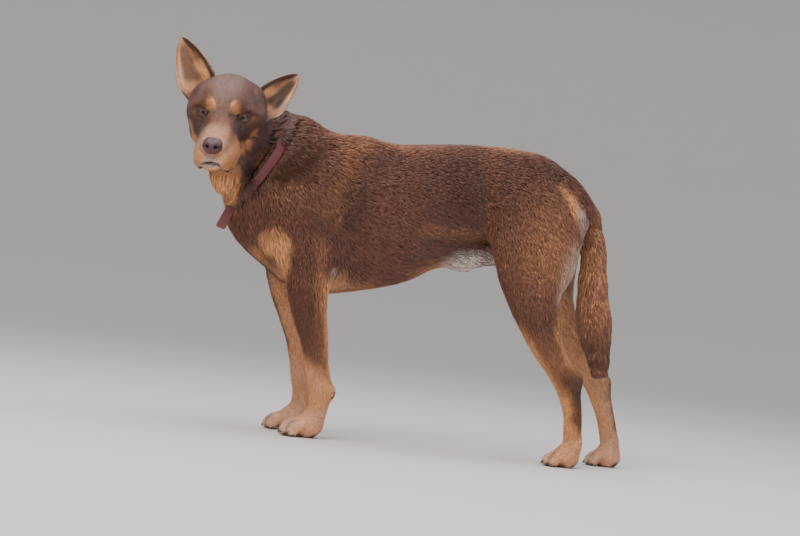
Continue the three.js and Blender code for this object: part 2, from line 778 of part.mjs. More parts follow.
/** How far from the neck's middle the coat's tips are, along a direction in the collar's plane. */
function neckRadius(angle) {
  const ray = new THREE.Vector3(Math.cos(angle), Math.sin(angle), 0).transformDirection(collarFrame);
  let [inside, outside] = [25, 140];
  while (outside - inside > 0.05) {
    const middle = (inside + outside) / 2;
    const p = COLLAR_AT.clone().addScaledVector(ray, middle);
    if (body(p.x, p.y, p.z) < 0) inside = middle;
    else outside = middle;
  }
  return inside;
}

const COLLAR_SIDES = 28;
const collarAngle = (i) => (i / COLLAR_SIDES) * 2 * Math.PI;
const collarLoop = Array.from({ length: COLLAR_SIDES }, (_, i) => neckRadius(collarAngle(i)));
/** The collar's radius: the neck's, evened out as a strap lies. */
const collarRadius = (i) => {
  const turn = (k) => collarLoop[(i + k + COLLAR_SIDES) % COLLAR_SIDES];
  return (turn(-2) + 2 * turn(-1) + 3 * turn(0) + 2 * turn(1) + turn(2)) / 9 - COLLAR.sunk;
};

/** A strap's cross-section run round the neck as a closed ring. */
function collarRing(grow = 0) {
  const half = { thickness: COLLAR.thickness / 2 + grow, width: COLLAR.width / 2 + grow };
  const corners = [[-1, -1], [1, -1], [1, 1], [-1, 1]];
  const position = [];
  const index = [];
  for (let i = 0; i < COLLAR_SIDES; i++) {
    const angle = collarAngle(i);
    for (const [t, w] of corners) {
      const radius = collarRadius(i) + t * half.thickness;
      position.push(radius * Math.cos(angle), radius * Math.sin(angle), w * half.width);
    }
    for (let c = 0; c < 4; c++) {
      const [a, b] = [i * 4 + c, i * 4 + ((c + 1) % 4)];
      const [d, e] = [((i + 1) % COLLAR_SIDES) * 4 + c, ((i + 1) % COLLAR_SIDES) * 4 + ((c + 1) % 4)];
      index.push(a, e, b, a, d, e);
    }
  }
  return solid(
    new THREE.BufferGeometry()
      .setAttribute("position", new THREE.BufferAttribute(new Float32Array(position), 3))
      .setIndex(index)
      .applyMatrix4(collarFrame),
  );
}

/** The free end of the strap, hanging in front of the chest: a flat strip with rounded corners. */
function strapEnd() {
  const LENGTH = 46;
  const CORNER = 4;
  const half = COLLAR.width / 2 + 1.5;
  const outline = new THREE.Shape();
  outline.moveTo(half, 0);
  outline.lineTo(half, LENGTH - CORNER);
  outline.quadraticCurveTo(half, LENGTH, half - CORNER, LENGTH);
  outline.lineTo(CORNER - half, LENGTH);
  outline.quadraticCurveTo(-half, LENGTH, -half, LENGTH - CORNER);
  outline.lineTo(-half, 0);
  return new THREE.ExtrudeGeometry(outline, { depth: 2.8, bevelEnabled: false, curveSegments: 4 });
}

// ---------------------------------------------------------------- materials
const BROWN = new THREE.MeshStandardMaterial({ color: 0x4e3229, roughness: 0.75, metalness: 0 });
const TAN = new THREE.MeshStandardMaterial({ color: 0xb87a4c, roughness: 0.8, metalness: 0 });
const LIVER = new THREE.MeshStandardMaterial({ color: 0x4a3838, roughness: 0.45, metalness: 0 });
const IRIS = new THREE.MeshStandardMaterial({ color: 0x6b4a2e, roughness: 0.1, metalness: 0 });
const CLAW = new THREE.MeshStandardMaterial({ color: 0x3a332f, roughness: 0.5, metalness: 0 });
const STRAP = new THREE.MeshStandardMaterial({ color: 0x6e2f33, roughness: 0.6, metalness: 0 });

const dog = new THREE.Group();

function add(name, made, material) {
  const { numProp, vertProperties, triVerts } = made.getMesh();
  const position = new Float32Array((vertProperties.length / numProp) * 3);
  for (let i = 0; i < position.length / 3; i++)
    position.set(vertProperties.subarray(i * numProp, i * numProp + 3), i * 3);
  parted(position, triVerts);
  const geometry = new THREE.BufferGeometry()
    .setAttribute("position", new THREE.BufferAttribute(position, 3))
    .setIndex(new THREE.BufferAttribute(triVerts, 1));
  geometry.computeVertexNormals();
  const mesh = new THREE.Mesh(geometry, material);
  mesh.name = name;
  dog.add(mesh);
}

/** The largest of the bodies that a cut leaves, so that no crumbs stay. */
const largest = (made) =>
  made.decompose().reduce((a, b) => (a.volume() > b.volume() ? a : b)).simplify(0.06);

// ---------------------------------------------------------------- the sub-parts
const collar = collarRing();
const collarRoom = collarRing(GAP);

const headBox = { low: [-135, -95, -105], high: [115, 95, 75], step: [10, 10, 10], frame: headFrame };
const wholeHead = wrap(body, headBox);
let headPart = wholeHead.intersect(beyond(HEAD_CUT.at, HEAD_CUT.normal, GAP / 2));
for (const side of [LEFT, RIGHT]) {
  headPart = headPart.subtract(lidOpening(side)).subtract(eye(side, GAP));
  add(side === LEFT ? "eye_left" : "eye_right", eye(side), IRIS);
}
add("head", largest(headPart.subtract(noseLeather(GAP)).subtract(collarRoom)), BROWN);
add("nose", noseLeather(), LIVER);

const grownHead = wrap(body, { ...headBox, grow: 4 * GAP }).add(wholeHead);
for (const [name, shape] of Object.entries(EARS)) add(name, largest(ear(shape).subtract(grownHead)), BROWN);

const neckBox = { low: [-215, -100, 330], high: [45, 90, 565], step: [26, 25, 25] };
const neckPart = wrap(body, neckBox)
  .subtract(beyond(HEAD_CUT.at, HEAD_CUT.normal, -GAP / 2))
  .intersect(beyond(NECK_CUT.at, NECK_CUT.normal, GAP / 2));
add("neck", largest(neckPart.subtract(collarRoom)), BROWN);

let trunkPart = wrap(body, { low: [-190, -130, 190], high: [480, 130, 540], step: [42, 30, 30] }).subtract(
  beyond(NECK_CUT.at, NECK_CUT.normal, -GAP / 2),
);
for (const name of Object.keys(LEGS)) trunkPart = trunkPart.subtract(legSpace(name, GAP));
trunkPart = largest(trunkPart.subtract(collarRoom));
add("trunk", trunkPart, BROWN);

const LEG_BOXES = {
  foreleg_left: { low: [-130, -130, 0], high: [90, -10, 400], step: [15, 14.5, 22] },
  foreleg_right: { low: [-150, 10, 0], high: [70, 130, 400], step: [15, 14.5, 22] },
  hindleg_left: { low: [225, -140, 0], high: [500, 40, 460], step: [18, 17, 24] },
  hindleg_right: { low: [225, -40, 0], high: [560, 140, 460], step: [18, 17, 24] },
};
const PAW_TOP = 44; // height of the cut between a leg and its paw
const pawCut = new THREE.Vector3(0, 0, PAW_TOP);
const UP = new THREE.Vector3(0, 0, 1);
const legParts = {};
for (const name of Object.keys(LEGS)) {
  legParts[name] = largest(
    wrap(body, LEG_BOXES[name]).intersect(legSpace(name)).intersect(beyond(pawCut, UP, GAP / 2)),
  );
  add(name, legParts[name], BROWN);
}

for (const [name, { paw }] of Object.entries(LEGS)) {
  const [end, side] = name.split("leg_");
  const frame = pawFrame(paw);
  const local = { low: [-60, -44, -12], high: [56, 44, 66], step: [10.4, 9, 10], frame };
  let foot = wrap(body, local).intersect(floorUp).subtract(beyond(pawCut, UP, -GAP / 2));
  TOES.forEach(([across, tip], i) => {
    const root = [(tip - 7) * paw.size, across * paw.size, 14 * paw.size];
    add(`claw_${end}_${side}_${i + 1}`, claw(frame, root, paw.size), CLAW);
    foot = foot.subtract(claw(frame, root, paw.size, GAP));
  });
  add(`paw_${end}_${side}`, largest(foot), TAN);
}

const tailBox = { low: [330, -90, 130], high: [520, 90, 480], step: [12, 12, 14] };
const tailRoom = wrap(body, { ...tailBox, grow: 4 * GAP });
const tailPart = wrap(tail, { low: [380, -55, 120], high: [505, 35, 475], step: [13.5, 12, 21] });
const rump = trunkPart.add(legParts.hindleg_left).add(legParts.hindleg_right);
add("tail", largest(tailPart.subtract(tailRoom).subtract(rump)), BROWN);

add("collar_strap", collar, STRAP);

// The strap's end hangs free in front of the chest.
const hanging = new THREE.Matrix4().makeBasis(
  new THREE.Vector3(0.9, -0.35, -0.26).normalize(),
  new THREE.Vector3(-0.33, -0.2, -0.92).normalize(),
  new THREE.Vector3(0.3, 0.9, -0.3).normalize(),
);
hanging.setPosition(-149.5, -48, 360);
const throatBox = { low: [-205, -90, 295], high: [-100, 30, 400], step: [10, 10, 10] };
const throatRoom = wrap(body, { ...throatBox, grow: 4 * GAP });
const strapPiece = solid(strapEnd().applyMatrix4(hanging)).subtract(collarRoom).subtract(throatRoom);
add("collar_end", largest(strapPiece), STRAP);

// The origin lies on the floor under the middle of the figure.
const extent = new THREE.Box3().setFromObject(dog);
dog.position.set(-(extent.min.x + extent.max.x) / 2, -(extent.min.y + extent.max.y) / 2, -extent.min.z);

export default dog;
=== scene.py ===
"""A kelpie standing with its head turned to its left, as a life-size still model.

One skin stands for the flesh of the CAD part and lies inside it by the depth of the coat. The coat is made of
closed tufts of hair that follow a comb table. Eyes, nose leather, claws and collar are pieces of their own.
Lengths are millimetres in the body's own frame until a piece is made, which is in metres in the row frame.
"""

import logging
import math
from contextlib import contextmanager
from dataclasses import dataclass
from enum import Enum
from typing import Callable, Iterator, Sequence

import bmesh
import bpy
import numpy as np
from mathutils import Matrix, Vector
from mathutils.bvhtree import BVHTree
from mathutils.kdtree import KDTree


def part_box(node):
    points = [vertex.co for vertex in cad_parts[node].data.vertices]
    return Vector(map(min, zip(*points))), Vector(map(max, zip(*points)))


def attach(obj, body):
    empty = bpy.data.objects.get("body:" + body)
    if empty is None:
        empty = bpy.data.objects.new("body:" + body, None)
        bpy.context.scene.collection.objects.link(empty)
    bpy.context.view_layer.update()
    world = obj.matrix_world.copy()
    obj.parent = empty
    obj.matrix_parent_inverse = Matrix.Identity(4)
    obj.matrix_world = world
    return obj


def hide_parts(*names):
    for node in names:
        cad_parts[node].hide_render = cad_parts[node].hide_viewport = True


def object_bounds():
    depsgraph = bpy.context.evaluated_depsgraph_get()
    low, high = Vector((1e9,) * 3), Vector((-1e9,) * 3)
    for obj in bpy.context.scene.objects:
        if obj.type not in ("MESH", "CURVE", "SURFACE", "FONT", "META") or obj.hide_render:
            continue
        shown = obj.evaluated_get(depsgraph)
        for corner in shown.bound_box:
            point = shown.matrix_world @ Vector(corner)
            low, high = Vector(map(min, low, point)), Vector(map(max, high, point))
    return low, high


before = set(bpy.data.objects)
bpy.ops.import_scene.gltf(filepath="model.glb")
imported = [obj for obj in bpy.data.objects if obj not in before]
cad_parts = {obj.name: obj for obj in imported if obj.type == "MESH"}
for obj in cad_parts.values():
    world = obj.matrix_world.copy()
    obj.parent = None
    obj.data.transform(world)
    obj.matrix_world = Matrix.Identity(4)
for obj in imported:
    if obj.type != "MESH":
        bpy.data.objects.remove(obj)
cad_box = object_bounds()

logging.basicConfig(level=logging.INFO, format="%(message)s")
LOG = logging.getLogger("dog")

Array = np.ndarray
Field = Callable[[Array], Array]
Row = Sequence[float]
Piece = bpy.types.Object
Socket = bpy.types.NodeSocket
SEED = 7
UP = np.array([0.0, 0.0, 1.0])
NOTHING = 1e-6  # keeps a division from having nothing below the line


class Side(Enum):
    """The dog's own left and right. The value is the sign of Y in the body's frame."""

    LEFT = -1
    RIGHT = 1


# ------------------------------------------------------------------ small mathematics
def smooth(value: Array, low: float, high: float) -> Array:
    """A soft step.

    Args:
        value: Where to look.
        low: Where the step starts.
        high: Where it ends. It may be below low.
    Returns:
        0 before the step and 1 after it.
    """
    t = np.clip((value - low) / (high - low), 0, 1)
    return t * t * (3 - 2 * t)


def unit(v: Array) -> Array:
    """Vectors of length one along the last axis."""
    return v / np.maximum(np.linalg.norm(v, axis=-1, keepdims=True), 1e-9)


def bell(*terms: tuple[Array, float, float]) -> Array:
    """A soft hill: 1 where each (value, centre, width) is at its centre, and less away from it."""
    return np.exp(-sum(((value - centre) / width) ** 2 for value, centre, width in terms))


def turned(axis: str, degrees: float) -> Array:
    """A rotation matrix about one axis."""
    return np.array(Matrix.Rotation(math.radians(degrees), 3, axis))


@dataclass(frozen=True)
class Place:
    """A frame of its own: an origin and a rotation, in the body's frame."""

    origin: Array
    basis: Array

    def out(self, p: Array) -> Array:
        """Points of this frame in the body's frame."""
        return p @ self.basis.T + self.origin

    def into(self, p: Array) -> Array:
        """Points of the body's frame in this frame."""
        return (p - self.origin) @ self.basis

    def way(self, v: Array) -> Array:
        """Directions of this frame in the body's frame."""
        return v @ self.basis.T

    def around(self, p: Array) -> tuple[Array, Array, Array]:
        """Points in this frame, their angles round its Z axis and their distances from it."""
        q = self.into(p)
        return q, np.arctan2(q[..., 1], q[..., 0]), np.hypot(q[..., 0], q[..., 1])


# ------------------------------------------------------------------ the flesh as a field
def melt(a: Array, b: Array, blend: float) -> Array:
    """Two distances that melt into each other over a width."""
    share = np.maximum(blend - np.abs(a - b), 0) / blend
    return np.minimum(a, b) - share * share * blend / 4


def flesh(*parts: tuple[Field, float]) -> Field:
    """Parts (field, blend) joined, each melting into those before it."""

    def field(p: Array) -> Array:
        d = np.full(len(p), 1e3)
        for part, blend in parts:
            d = melt(d, part(p), blend)
        return d

    return field


def near(field: Field, low: Row, high: Row, reach: float = 70) -> Field:
    """Leaves a field out of account further than `reach` outside its box."""

    def limited(p: Array) -> Array:
        d = np.max(np.maximum(np.array(low) - p, p - np.array(high)), axis=1)
        close = d <= reach
        if close.any():
            d[close] = field(p[close])
        return d

    return limited


def oval(centre: Row, half: Row, pitch: float = 0, yaw: float = 0) -> Field:
    """An oval with three half-sizes, pitched about Y and then turned about Z, in degrees."""
    place = Place(np.array(centre, float), turned("Z", yaw) @ turned("Y", pitch))
    size = np.array(half, float)

    def field(p: Array) -> Array:
        q = place.into(p) / size
        reach = np.linalg.norm(q, axis=1)
        slope = np.linalg.norm(q / size, axis=1)
        return (reach - 1) * reach / np.maximum(slope, NOTHING)

    return field


def pair(centre: Row, half: Row, pitch: float = 0, yaw: float = 0) -> Field:
    """Two ovals, mirrored across Y = 0."""
    left = oval(centre, half, pitch, yaw)
    right = oval([centre[0], -centre[1], centre[2]], half, pitch, -yaw)
    return lambda p: np.minimum(left(p), right(p))


def spline(points: Array, t: float) -> Array:
    """A smooth line through points, with its knots spaced by the root of the gaps between them."""
    last = len(points) - 1
    i = min(int(t * last), last - 1)
    w = t * last - i
    a, b = points[i], points[i + 1]
    before = points[i - 1] if i > 0 else 2 * a - b
    after = points[i + 2] if i + 2 <= last else 2 * b - a
    d0, d1, d2 = (float(np.sum((q - p) ** 2)) ** 0.25 for p, q in ((before, a), (a, b), (b, after)))
    d1 = d1 if d1 > 1e-4 else 1.0
    d0, d2 = (d if d > 1e-4 else d1 for d in (d0, d2))
    m0 = ((a - before) / d0 - (b - before) / (d0 + d1) + (b - a) / d1) * d1
    m1 = ((b - a) / d1 - (after - a) / (d1 + d2) + (after - b) / d2) * d1
    return a + m0 * w + (3 * (b - a) - 2 * m0 - m1) * w**2 + (2 * (a - b) + m0 + m1) * w**3


def tube(joints: Sequence[Row], ref: Row, steps: int = 4) -> Field:
    """An oval tube on a smooth line through joints (x, y, z, depth, width); depth is measured along ref."""
    rows = np.array(joints, float)
    count = (len(rows) - 1) * steps
    line = [spline(rows[:, :3], i / count) for i in range(count + 1)]
    size = [spline(rows[:, 3:5], i / count) for i in range(count + 1)]

    def field(p: Array) -> Array:
        nearest = np.full(len(p), 1e3)
        for start, end, s0, s1 in zip(line[:-1], line[1:], size[:-1], size[1:]):
            axis = end - start
            length = np.linalg.norm(axis)
            axis = axis / length
            side = unit(np.cross(axis, ref))
            fore = np.cross(side, axis)
            off = p - start
            run = off @ axis
            t = np.clip(run / length, 0, 1)
            depth = s0[0] + (s1[0] - s0[0]) * t
            width = s0[1] + (s1[1] - s0[1]) * t
            least = np.minimum(depth, width)
            over = (run - t * length) / least
            f = (off @ fore) / depth
            s = (off @ side) / width
            reach = np.sqrt(f * f + s * s + over * over)
            slope = np.sqrt((f / depth) ** 2 + (s / width) ** 2 + (over / least) ** 2)
            nearest = np.minimum(nearest, (reach - 1) * reach / np.maximum(slope, NOTHING))
        return nearest

    return field


def through(rows: Sequence[Row]) -> Callable[[Array], Array]:
    """A function of place that runs smoothly through rows (place, value, value...)."""
    table = np.array(rows, float)
    place = table[:, 0]
    before = np.maximum(np.arange(len(table)) - 1, 0)
    after = np.minimum(np.arange(len(table)) + 1, len(table) - 1)
    slopes = (table[after] - table[before]) / (place[after] - place[before])[:, None]

    def at(x: Array) -> Array:
        i = np.clip(np.searchsorted(place, x) - 1, 0, len(place) - 2)
        span = (place[i + 1] - place[i])[:, None]
        t = np.clip((x - place[i])[:, None] / span, 0, 1)
        a, b, ma, mb = table[i, 1:], table[i + 1, 1:], slopes[i, 1:], slopes[i + 1, 1:]
        return (
            (2 * t**3 - 3 * t**2 + 1) * a
            + (t**3 - 2 * t**2 + t) * span * ma
            + (3 * t**2 - 2 * t**3) * b
            + (t**3 - t**2) * span * mb
        )

    return at


def spine(x: Array | float) -> Array | float:
    """Where the backbone lies sideways, at a place along the trunk."""
    return -2.0e-4 * (x - 175) ** 2


# fmt: off
# Sections of the trunk: place, top, underside, half-width, and the height where it is widest.
TRUNK_SECTIONS = through(
    [
        (-146, 366, 328, 12, 346), (-124, 420, 294, 44, 355), (-92, 456, 266, 64, 362), (-50, 484, 240, 77, 362),
        (0, 487, 230, 82, 362), (50, 493, 238, 86, 366), (100, 489, 251, 91, 372), (150, 494, 270, 92, 382),
        (205, 500, 312, 84, 402), (255, 503, 336, 74, 416), (300, 503, 344, 75, 420), (350, 494, 348, 76, 415),
        (395, 464, 360, 64, 410), (422, 436, 384, 36, 408), (440, 414, 396, 10, 404),
    ]
)
# fmt: on


def ribcage(p: Array) -> Array:
    """The trunk from breast to rump, as sections along X."""
    top, bottom, half, widest = TRUNK_SECTIONS(p[:, 0]).T
    rise = np.where(p[:, 2] > widest, top - widest, widest - bottom)
    across = (p[:, 1] - spine(p[:, 0])) / half
    up = (p[:, 2] - widest) / rise
    reach = np.hypot(across, up)
    slope = np.hypot(across / half, up / rise)
    past = np.maximum(np.maximum(-146 - p[:, 0], p[:, 0] - 440), 0)
    return (reach - 1) * reach / np.maximum(slope, NOTHING) + past


# fmt: off
NECK_LINE = [
    (-168, -60, 502, 46, 48), (-161, -34, 492, 58, 54), (-138, -12, 470, 66, 60), (-104, -6, 446, 70, 65),
    (-62, -8, 424, 78, 73), (-15, -8, 396, 82, 78),
]
TAIL_LINE = [
    (400, -12, 426, 13, 18), (418, -14, 409, 14, 19), (431, -14, 388, 16, 20), (438, -14, 362, 21, 20),
    (442, -13, 318, 25, 21), (447, -12, 272, 29, 23), (453, -11, 236, 32, 24), (461, -10, 205, 26, 20),
    (468, -9, 175, 20, 16), (473, -8, 152, 14, 12), (477, -8, 140, 8, 7),
]
# fmt: on

HEAD = Place(np.array([-174.0, -128, 495]), turned("Z", -93) @ turned("Y", 19.5) @ turned("X", -1.5))
EYE_RADIUS = 10.8
EYES = {Side.LEFT: np.array([-8.5, 29.5, -1.5]), Side.RIGHT: np.array([-8.5, -29.5, -1.5])}
NOSE_AT = np.array([84.5, 0, -29])
NOSE_HALF = np.array([13.5, 16, 13.5])

SKULL = flesh(
    (oval((-52, 0, 6), (58, 52, 45)), 1),  # braincase
    (oval((-16, 0, 14), (34, 38, 30), 12), 24),  # forehead
    (pair((-2, 22, 12), (15, 13, 9), 10, -20), 12),  # brows
    (pair((-26, 44, -8), (34, 17, 17), 4, -18), 18),  # cheekbones
    (pair((-46, 40, -34), (38, 20, 33), 0, -6), 22),  # jaw muscles
    (oval((-52, 0, -52), (40, 40, 26)), 24),  # throat between the jaws
    (oval((-64, 40, 12), (26, 16, 21), 0, 24), 16),  # root of the left ear
    (oval((-62, -42, 6), (24, 18, 24), 0, -20), 16),  # root of the right ear
)
BRIDGE_LINE = [
    (-6, 0, -26, 25, 36), (20, 0, -27, 21, 30), (50, 0, -28.5, 18, 25.5), (74, 0, -31, 15, 22), (80, 0, -33, 12, 18),
]
JAW_LINE = [(-24, 0, -57, 18, 34), (20, 0, -59, 15, 23), (56, 0, -62, 12, 18), (76, 0, -63, 10.5, 14)]
MUZZLE = flesh(
    (tube(BRIDGE_LINE, UP), 1),
    (pair((34, 21, -54), (37, 15, 22), 2, -8), 12),  # upper lips, at the cheek
    (pair((62, 15, -52), (25, 15, 16), 2, -4), 10),  # upper lips, at the front
    (pair((47, 22, -65), (18, 9, 15), 6, -10), 8),  # hanging corners of the lips
    (tube(JAW_LINE, UP), 7),
)
SOCKETS = pair((4, 34, -1), (15, 13, 10), 0, 20)


def head_flesh(p: Array) -> Array:
    """Skull and muzzle with the hollows of the eyes, in the head's own frame."""
    solid = melt(melt(np.full(len(p), 1e3), SKULL(p), 1), MUZZLE(p), 22)
    return -melt(-solid, SOCKETS(p), 6)


@dataclass(frozen=True)
class Leg:
    """A leg: its paw's place, heading in degrees and size, its line of joints, and its muscles."""

    at: tuple[float, float]
    turn: float
    size: float
    line: list
    muscles: list

    @property
    def paw(self) -> Place:
        """The paw's own frame: +X to the toes, +Y to the dog's left, on the floor."""
        return Place(np.array([self.at[0], self.at[1], -1.6]), turned("Z", 180 + self.turn))


# fmt: off
LEGS = {
    "foreleg_left": Leg(
        (2, -60),
        16,
        1.0,
        [
            (-26, -58, 335, 50, 28), (-16, -64, 270, 39, 30), (-12, -64, 232, 34, 26), (-6, -62, 200, 29, 23),
            (6, -60, 160, 23.5, 18.5), (15, -58, 120, 19.5, 16), (22, -57, 90, 19.5, 17.5), (25, -57, 67, 17.5, 16),
            (24, -57, 45, 17, 17), (18, -58, 28, 19, 20),
        ],
        [((-34, -62, 352), (44, 27, 82), 24), ((-28, -64, 300), (46, 28, 36), 30), ((44, -58, 76), (9, 8, 11), 0)],
    ),
    "foreleg_right": Leg(
        (-32, 56),
        -6,
        1.0,
        [
            (-60, 56, 335, 50, 28), (-56, 60, 270, 38, 30), (-48, 60, 232, 33, 26), (-38, 59, 200, 28, 23),
            (-25, 58, 160, 23, 18.5), (-17, 57, 120, 19, 16), (-11, 56, 90, 19, 17.5), (-8, 56, 67, 16.5, 16),
            (-9, 56, 45, 16, 17), (-16, 56, 28, 19, 20),
        ],
        [((-50, 60, 352), (44, 27, 82), 24), ((-62, 60, 300), (44, 28, 36), 30), ((12, 56, 74), (9, 8, 11), 0)],
    ),
    "hindleg_left": Leg(
        (421, -64),
        8,
        0.87,
        [
            (346, -52, 400, 74, 34), (341, -60, 345, 70, 40), (342, -66, 300, 57, 39), (349, -68, 258, 42, 33),
            (361, -67, 220, 31, 26), (378, -66, 188, 26, 21), (401, -64, 156, 21.5, 16), (416, -63, 134, 21, 15),
            (424, -63, 112, 18, 15), (431, -63, 86, 15.5, 14), (434, -63, 56, 15.5, 14), (436, -63, 36, 16.5, 16),
            (429, -63, 24, 17, 18),
        ],
        [((330, -54, 366), (52, 34, 70), 14), ((376, -46, 340), (38, 30, 62), -6), ((430, -62, 140), (11, 9, 16), 20)],
    ),
    "hindleg_right": Leg(
        (500, 62),
        -4,
        0.89,
        [
            (354, 50, 400, 72, 34), (356, 58, 345, 68, 40), (366, 64, 300, 55, 39), (384, 66, 258, 41, 33),
            (408, 66, 220, 31, 26), (434, 65, 188, 25.5, 21), (460, 64, 156, 21.5, 16), (476, 63, 134, 21, 15),
            (485, 62, 112, 18, 15), (495, 62, 86, 15.5, 14), (504, 62, 56, 15.5, 14), (509, 62, 36, 16.5, 16),
            (507, 62, 24, 18, 19),
        ],
        [((334, 54, 366), (52, 34, 70), 14), ((382, 46, 340), (38, 30, 62), -6), ((485, 62, 135), (11, 9, 15), 20)],
    ),
}
# fmt: on
TOES = [(-18.5, 25), (-6.8, 34), (6.8, 34), (18.5, 25)]  # sideways place and reach of each toe
FORE_AND_AFT = (1.0, 0.0, 0.0)
LEG_TOP = 290  # height over which the trunk's table combs the legs


def leg_field(leg: Leg) -> Field:
    """The flesh of one leg with its paw."""
    size = leg.size
    toes = []
    for side, tip in TOES:
        line = [(2, side * 0.7, 21, 11, 9), (tip - 16, side * 0.95, 20, 9.6, 8.4), (tip - 7, side, 10.5, 9.2, 8)]
        toes.append((tube(np.array(line) * size, UP, 3), 3))
    foot = flesh((oval((-7 * size, 0, 18 * size), (26 * size, 21 * size, 18 * size)), 1), *toes)
    place, (x, y) = leg.paw, leg.at
    paw = near(lambda p: foot(place.into(p)), (x - 30, y - 30, 0), (x + 30, y + 30, 30))
    limb = flesh(
        (tube(leg.line, FORE_AND_AFT), 1),
        *((oval(centre, half, pitch), 16) for centre, half, pitch in leg.muscles),
        (paw, 12),
    )
    return near(limb, (leg.line[0][0] - 95, y - 40, 0), (x + 90, y + 40, 460))


TRUNK = flesh(
    (ribcage, 1),
    (oval((-118, spine(-118), 352), (34, 40, 46), 20), 40),  # breastbone point
    (oval((240, spine(240), 311), (66, 15, 22), 2), 30),  # sheath under the belly, with its hair
    *((oval((44, spine(44) + side * 44, 457), (54, 30, 34)), 30) for side in (-1, 1)),  # tops of the shoulder blades
    *((oval((364, spine(364) + side * 34, 424), (56, 36, 44), 28), 24) for side in (-1, 1)),  # rump
)
THROAT = flesh(
    (tube(NECK_LINE, UP), 1),
    (oval((-159, -42, 420), (38, 36, 50), 12, 20), 35),  # the throat's fringe
    (oval((-62, -12, 479), (33, 34, 36), 6), 30),  # thick hair of the nape
)
TAIL = tube(TAIL_LINE, FORE_AND_AFT)
BODY = flesh(
    (TRUNK, 1),
    (near(THROAT, (-230, -120, 330), (80, 100, 570)), 44),
    (near(lambda p: head_flesh(HEAD.into(p)), (-250, -230, 360), (-90, 0, 570)), 22),
    *((leg_field(leg), 30 if name.startswith("fore") else 34) for name, leg in LEGS.items()),
    (near(TAIL, (380, -40, 130), (490, 20, 460)), 10),
)


# ------------------------------------------------------------------ the comb: how the coat lies, its length and depth
# fmt: off
# Trunk: place along X, outwards, up; the way the hair lies (X, outwards, Z); length; depth over the skin.
TRUNK_COMB = [
    (-40, 0, 482, 0.9, 0, -0.35, 26, 10), (0, 0, 498, 1, 0, -0.1, 23, 9), (80, 0, 497, 1, 0, 0, 19, 7.5),
    (170, 0, 498, 1, 0, 0, 17, 7), (260, 0, 503, 1, 0, 0, 17, 7), (340, 0, 496, 1, 0, -0.2, 19, 7.5),
    (395, 0, 468, 0.8, 0, -0.6, 24, 9), (60, 75, 430, 1, 0.1, -0.3, 17, 7), (160, 80, 430, 1, 0, -0.3, 16, 6.5),
    (260, 68, 445, 1, 0, -0.35, 16, 6.5), (340, 70, 440, 0.75, 0, -0.65, 17, 7), (0, 78, 400, 0.75, 0, -0.65, 16, 7),
    (-50, 72, 390, 0.6, 0, -0.8, 19, 8), (80, 86, 370, 0.95, 0, -0.4, 16, 6.5),
    (180, 86, 370, 0.95, 0, -0.4, 16, 6.5), (240, 74, 390, 0.85, 0, -0.5, 16, 6.5),
    (80, 70, 300, 0.95, -0.1, -0.35, 17, 6.5), (160, 60, 300, 1, -0.1, -0.3, 19, 6.5),
    (220, 45, 330, 1, 0, -0.3, 19, 6.5), (30, 0, 234, 1, 0, -0.1, 18, 6.5), (100, 0, 250, 1, 0, -0.1, 19, 6.5),
    (170, 0, 275, 1, 0, -0.15, 24, 7.5), (225, 0, 297, 1, 0, -0.35, 28, 8), (270, 0, 335, 1, 0, -0.1, 18, 6),
    (-120, 0, 330, 0.2, 0, -1, 26, 10), (-80, 0, 270, 0.5, 0, -0.85, 24, 9), (-30, 0, 235, 0.9, 0, -0.35, 20, 7),
    (-100, 45, 350, 0.3, 0.1, -0.95, 22, 9), (-70, 60, 300, 0.4, 0, -0.9, 17, 7),
    (300, 80, 380, 0.5, 0, -0.85, 16, 6.5), (350, 90, 330, 0.45, 0, -0.9, 16, 6.5),
    (400, 75, 380, 0.4, 0, -0.9, 20, 8), (430, 45, 400, 0.3, 0, -1, 28, 10), (424, 45, 330, 0.1, 0, -1, 30, 10),
]
# Neck: place and lie in the body's frame, for each side by itself, as the neck turns.
NECK_COMB = [
    (-110, -6, 515, 0.85, 0, -0.4, 26, 10), (-150, -20, 545, 0.7, 0.25, -0.35, 24, 9),
    (-110, -75, 440, 0.75, 0, -0.7, 26, 10.5), (-60, -80, 420, 0.8, 0, -0.6, 23, 9.5),
    (-110, 60, 450, 0.75, 0, -0.7, 26, 10.5), (-60, 66, 425, 0.8, 0, -0.6, 23, 9.5),
    (-172, -50, 400, -0.1, -0.1, -1, 32, 11), (-160, -30, 370, 0, 0, -1, 32, 11),
    (-130, -90, 455, 0.55, 0.2, -0.8, 26, 9.5), (-200, -60, 440, -0.2, 0.3, -0.95, 24, 9),
]
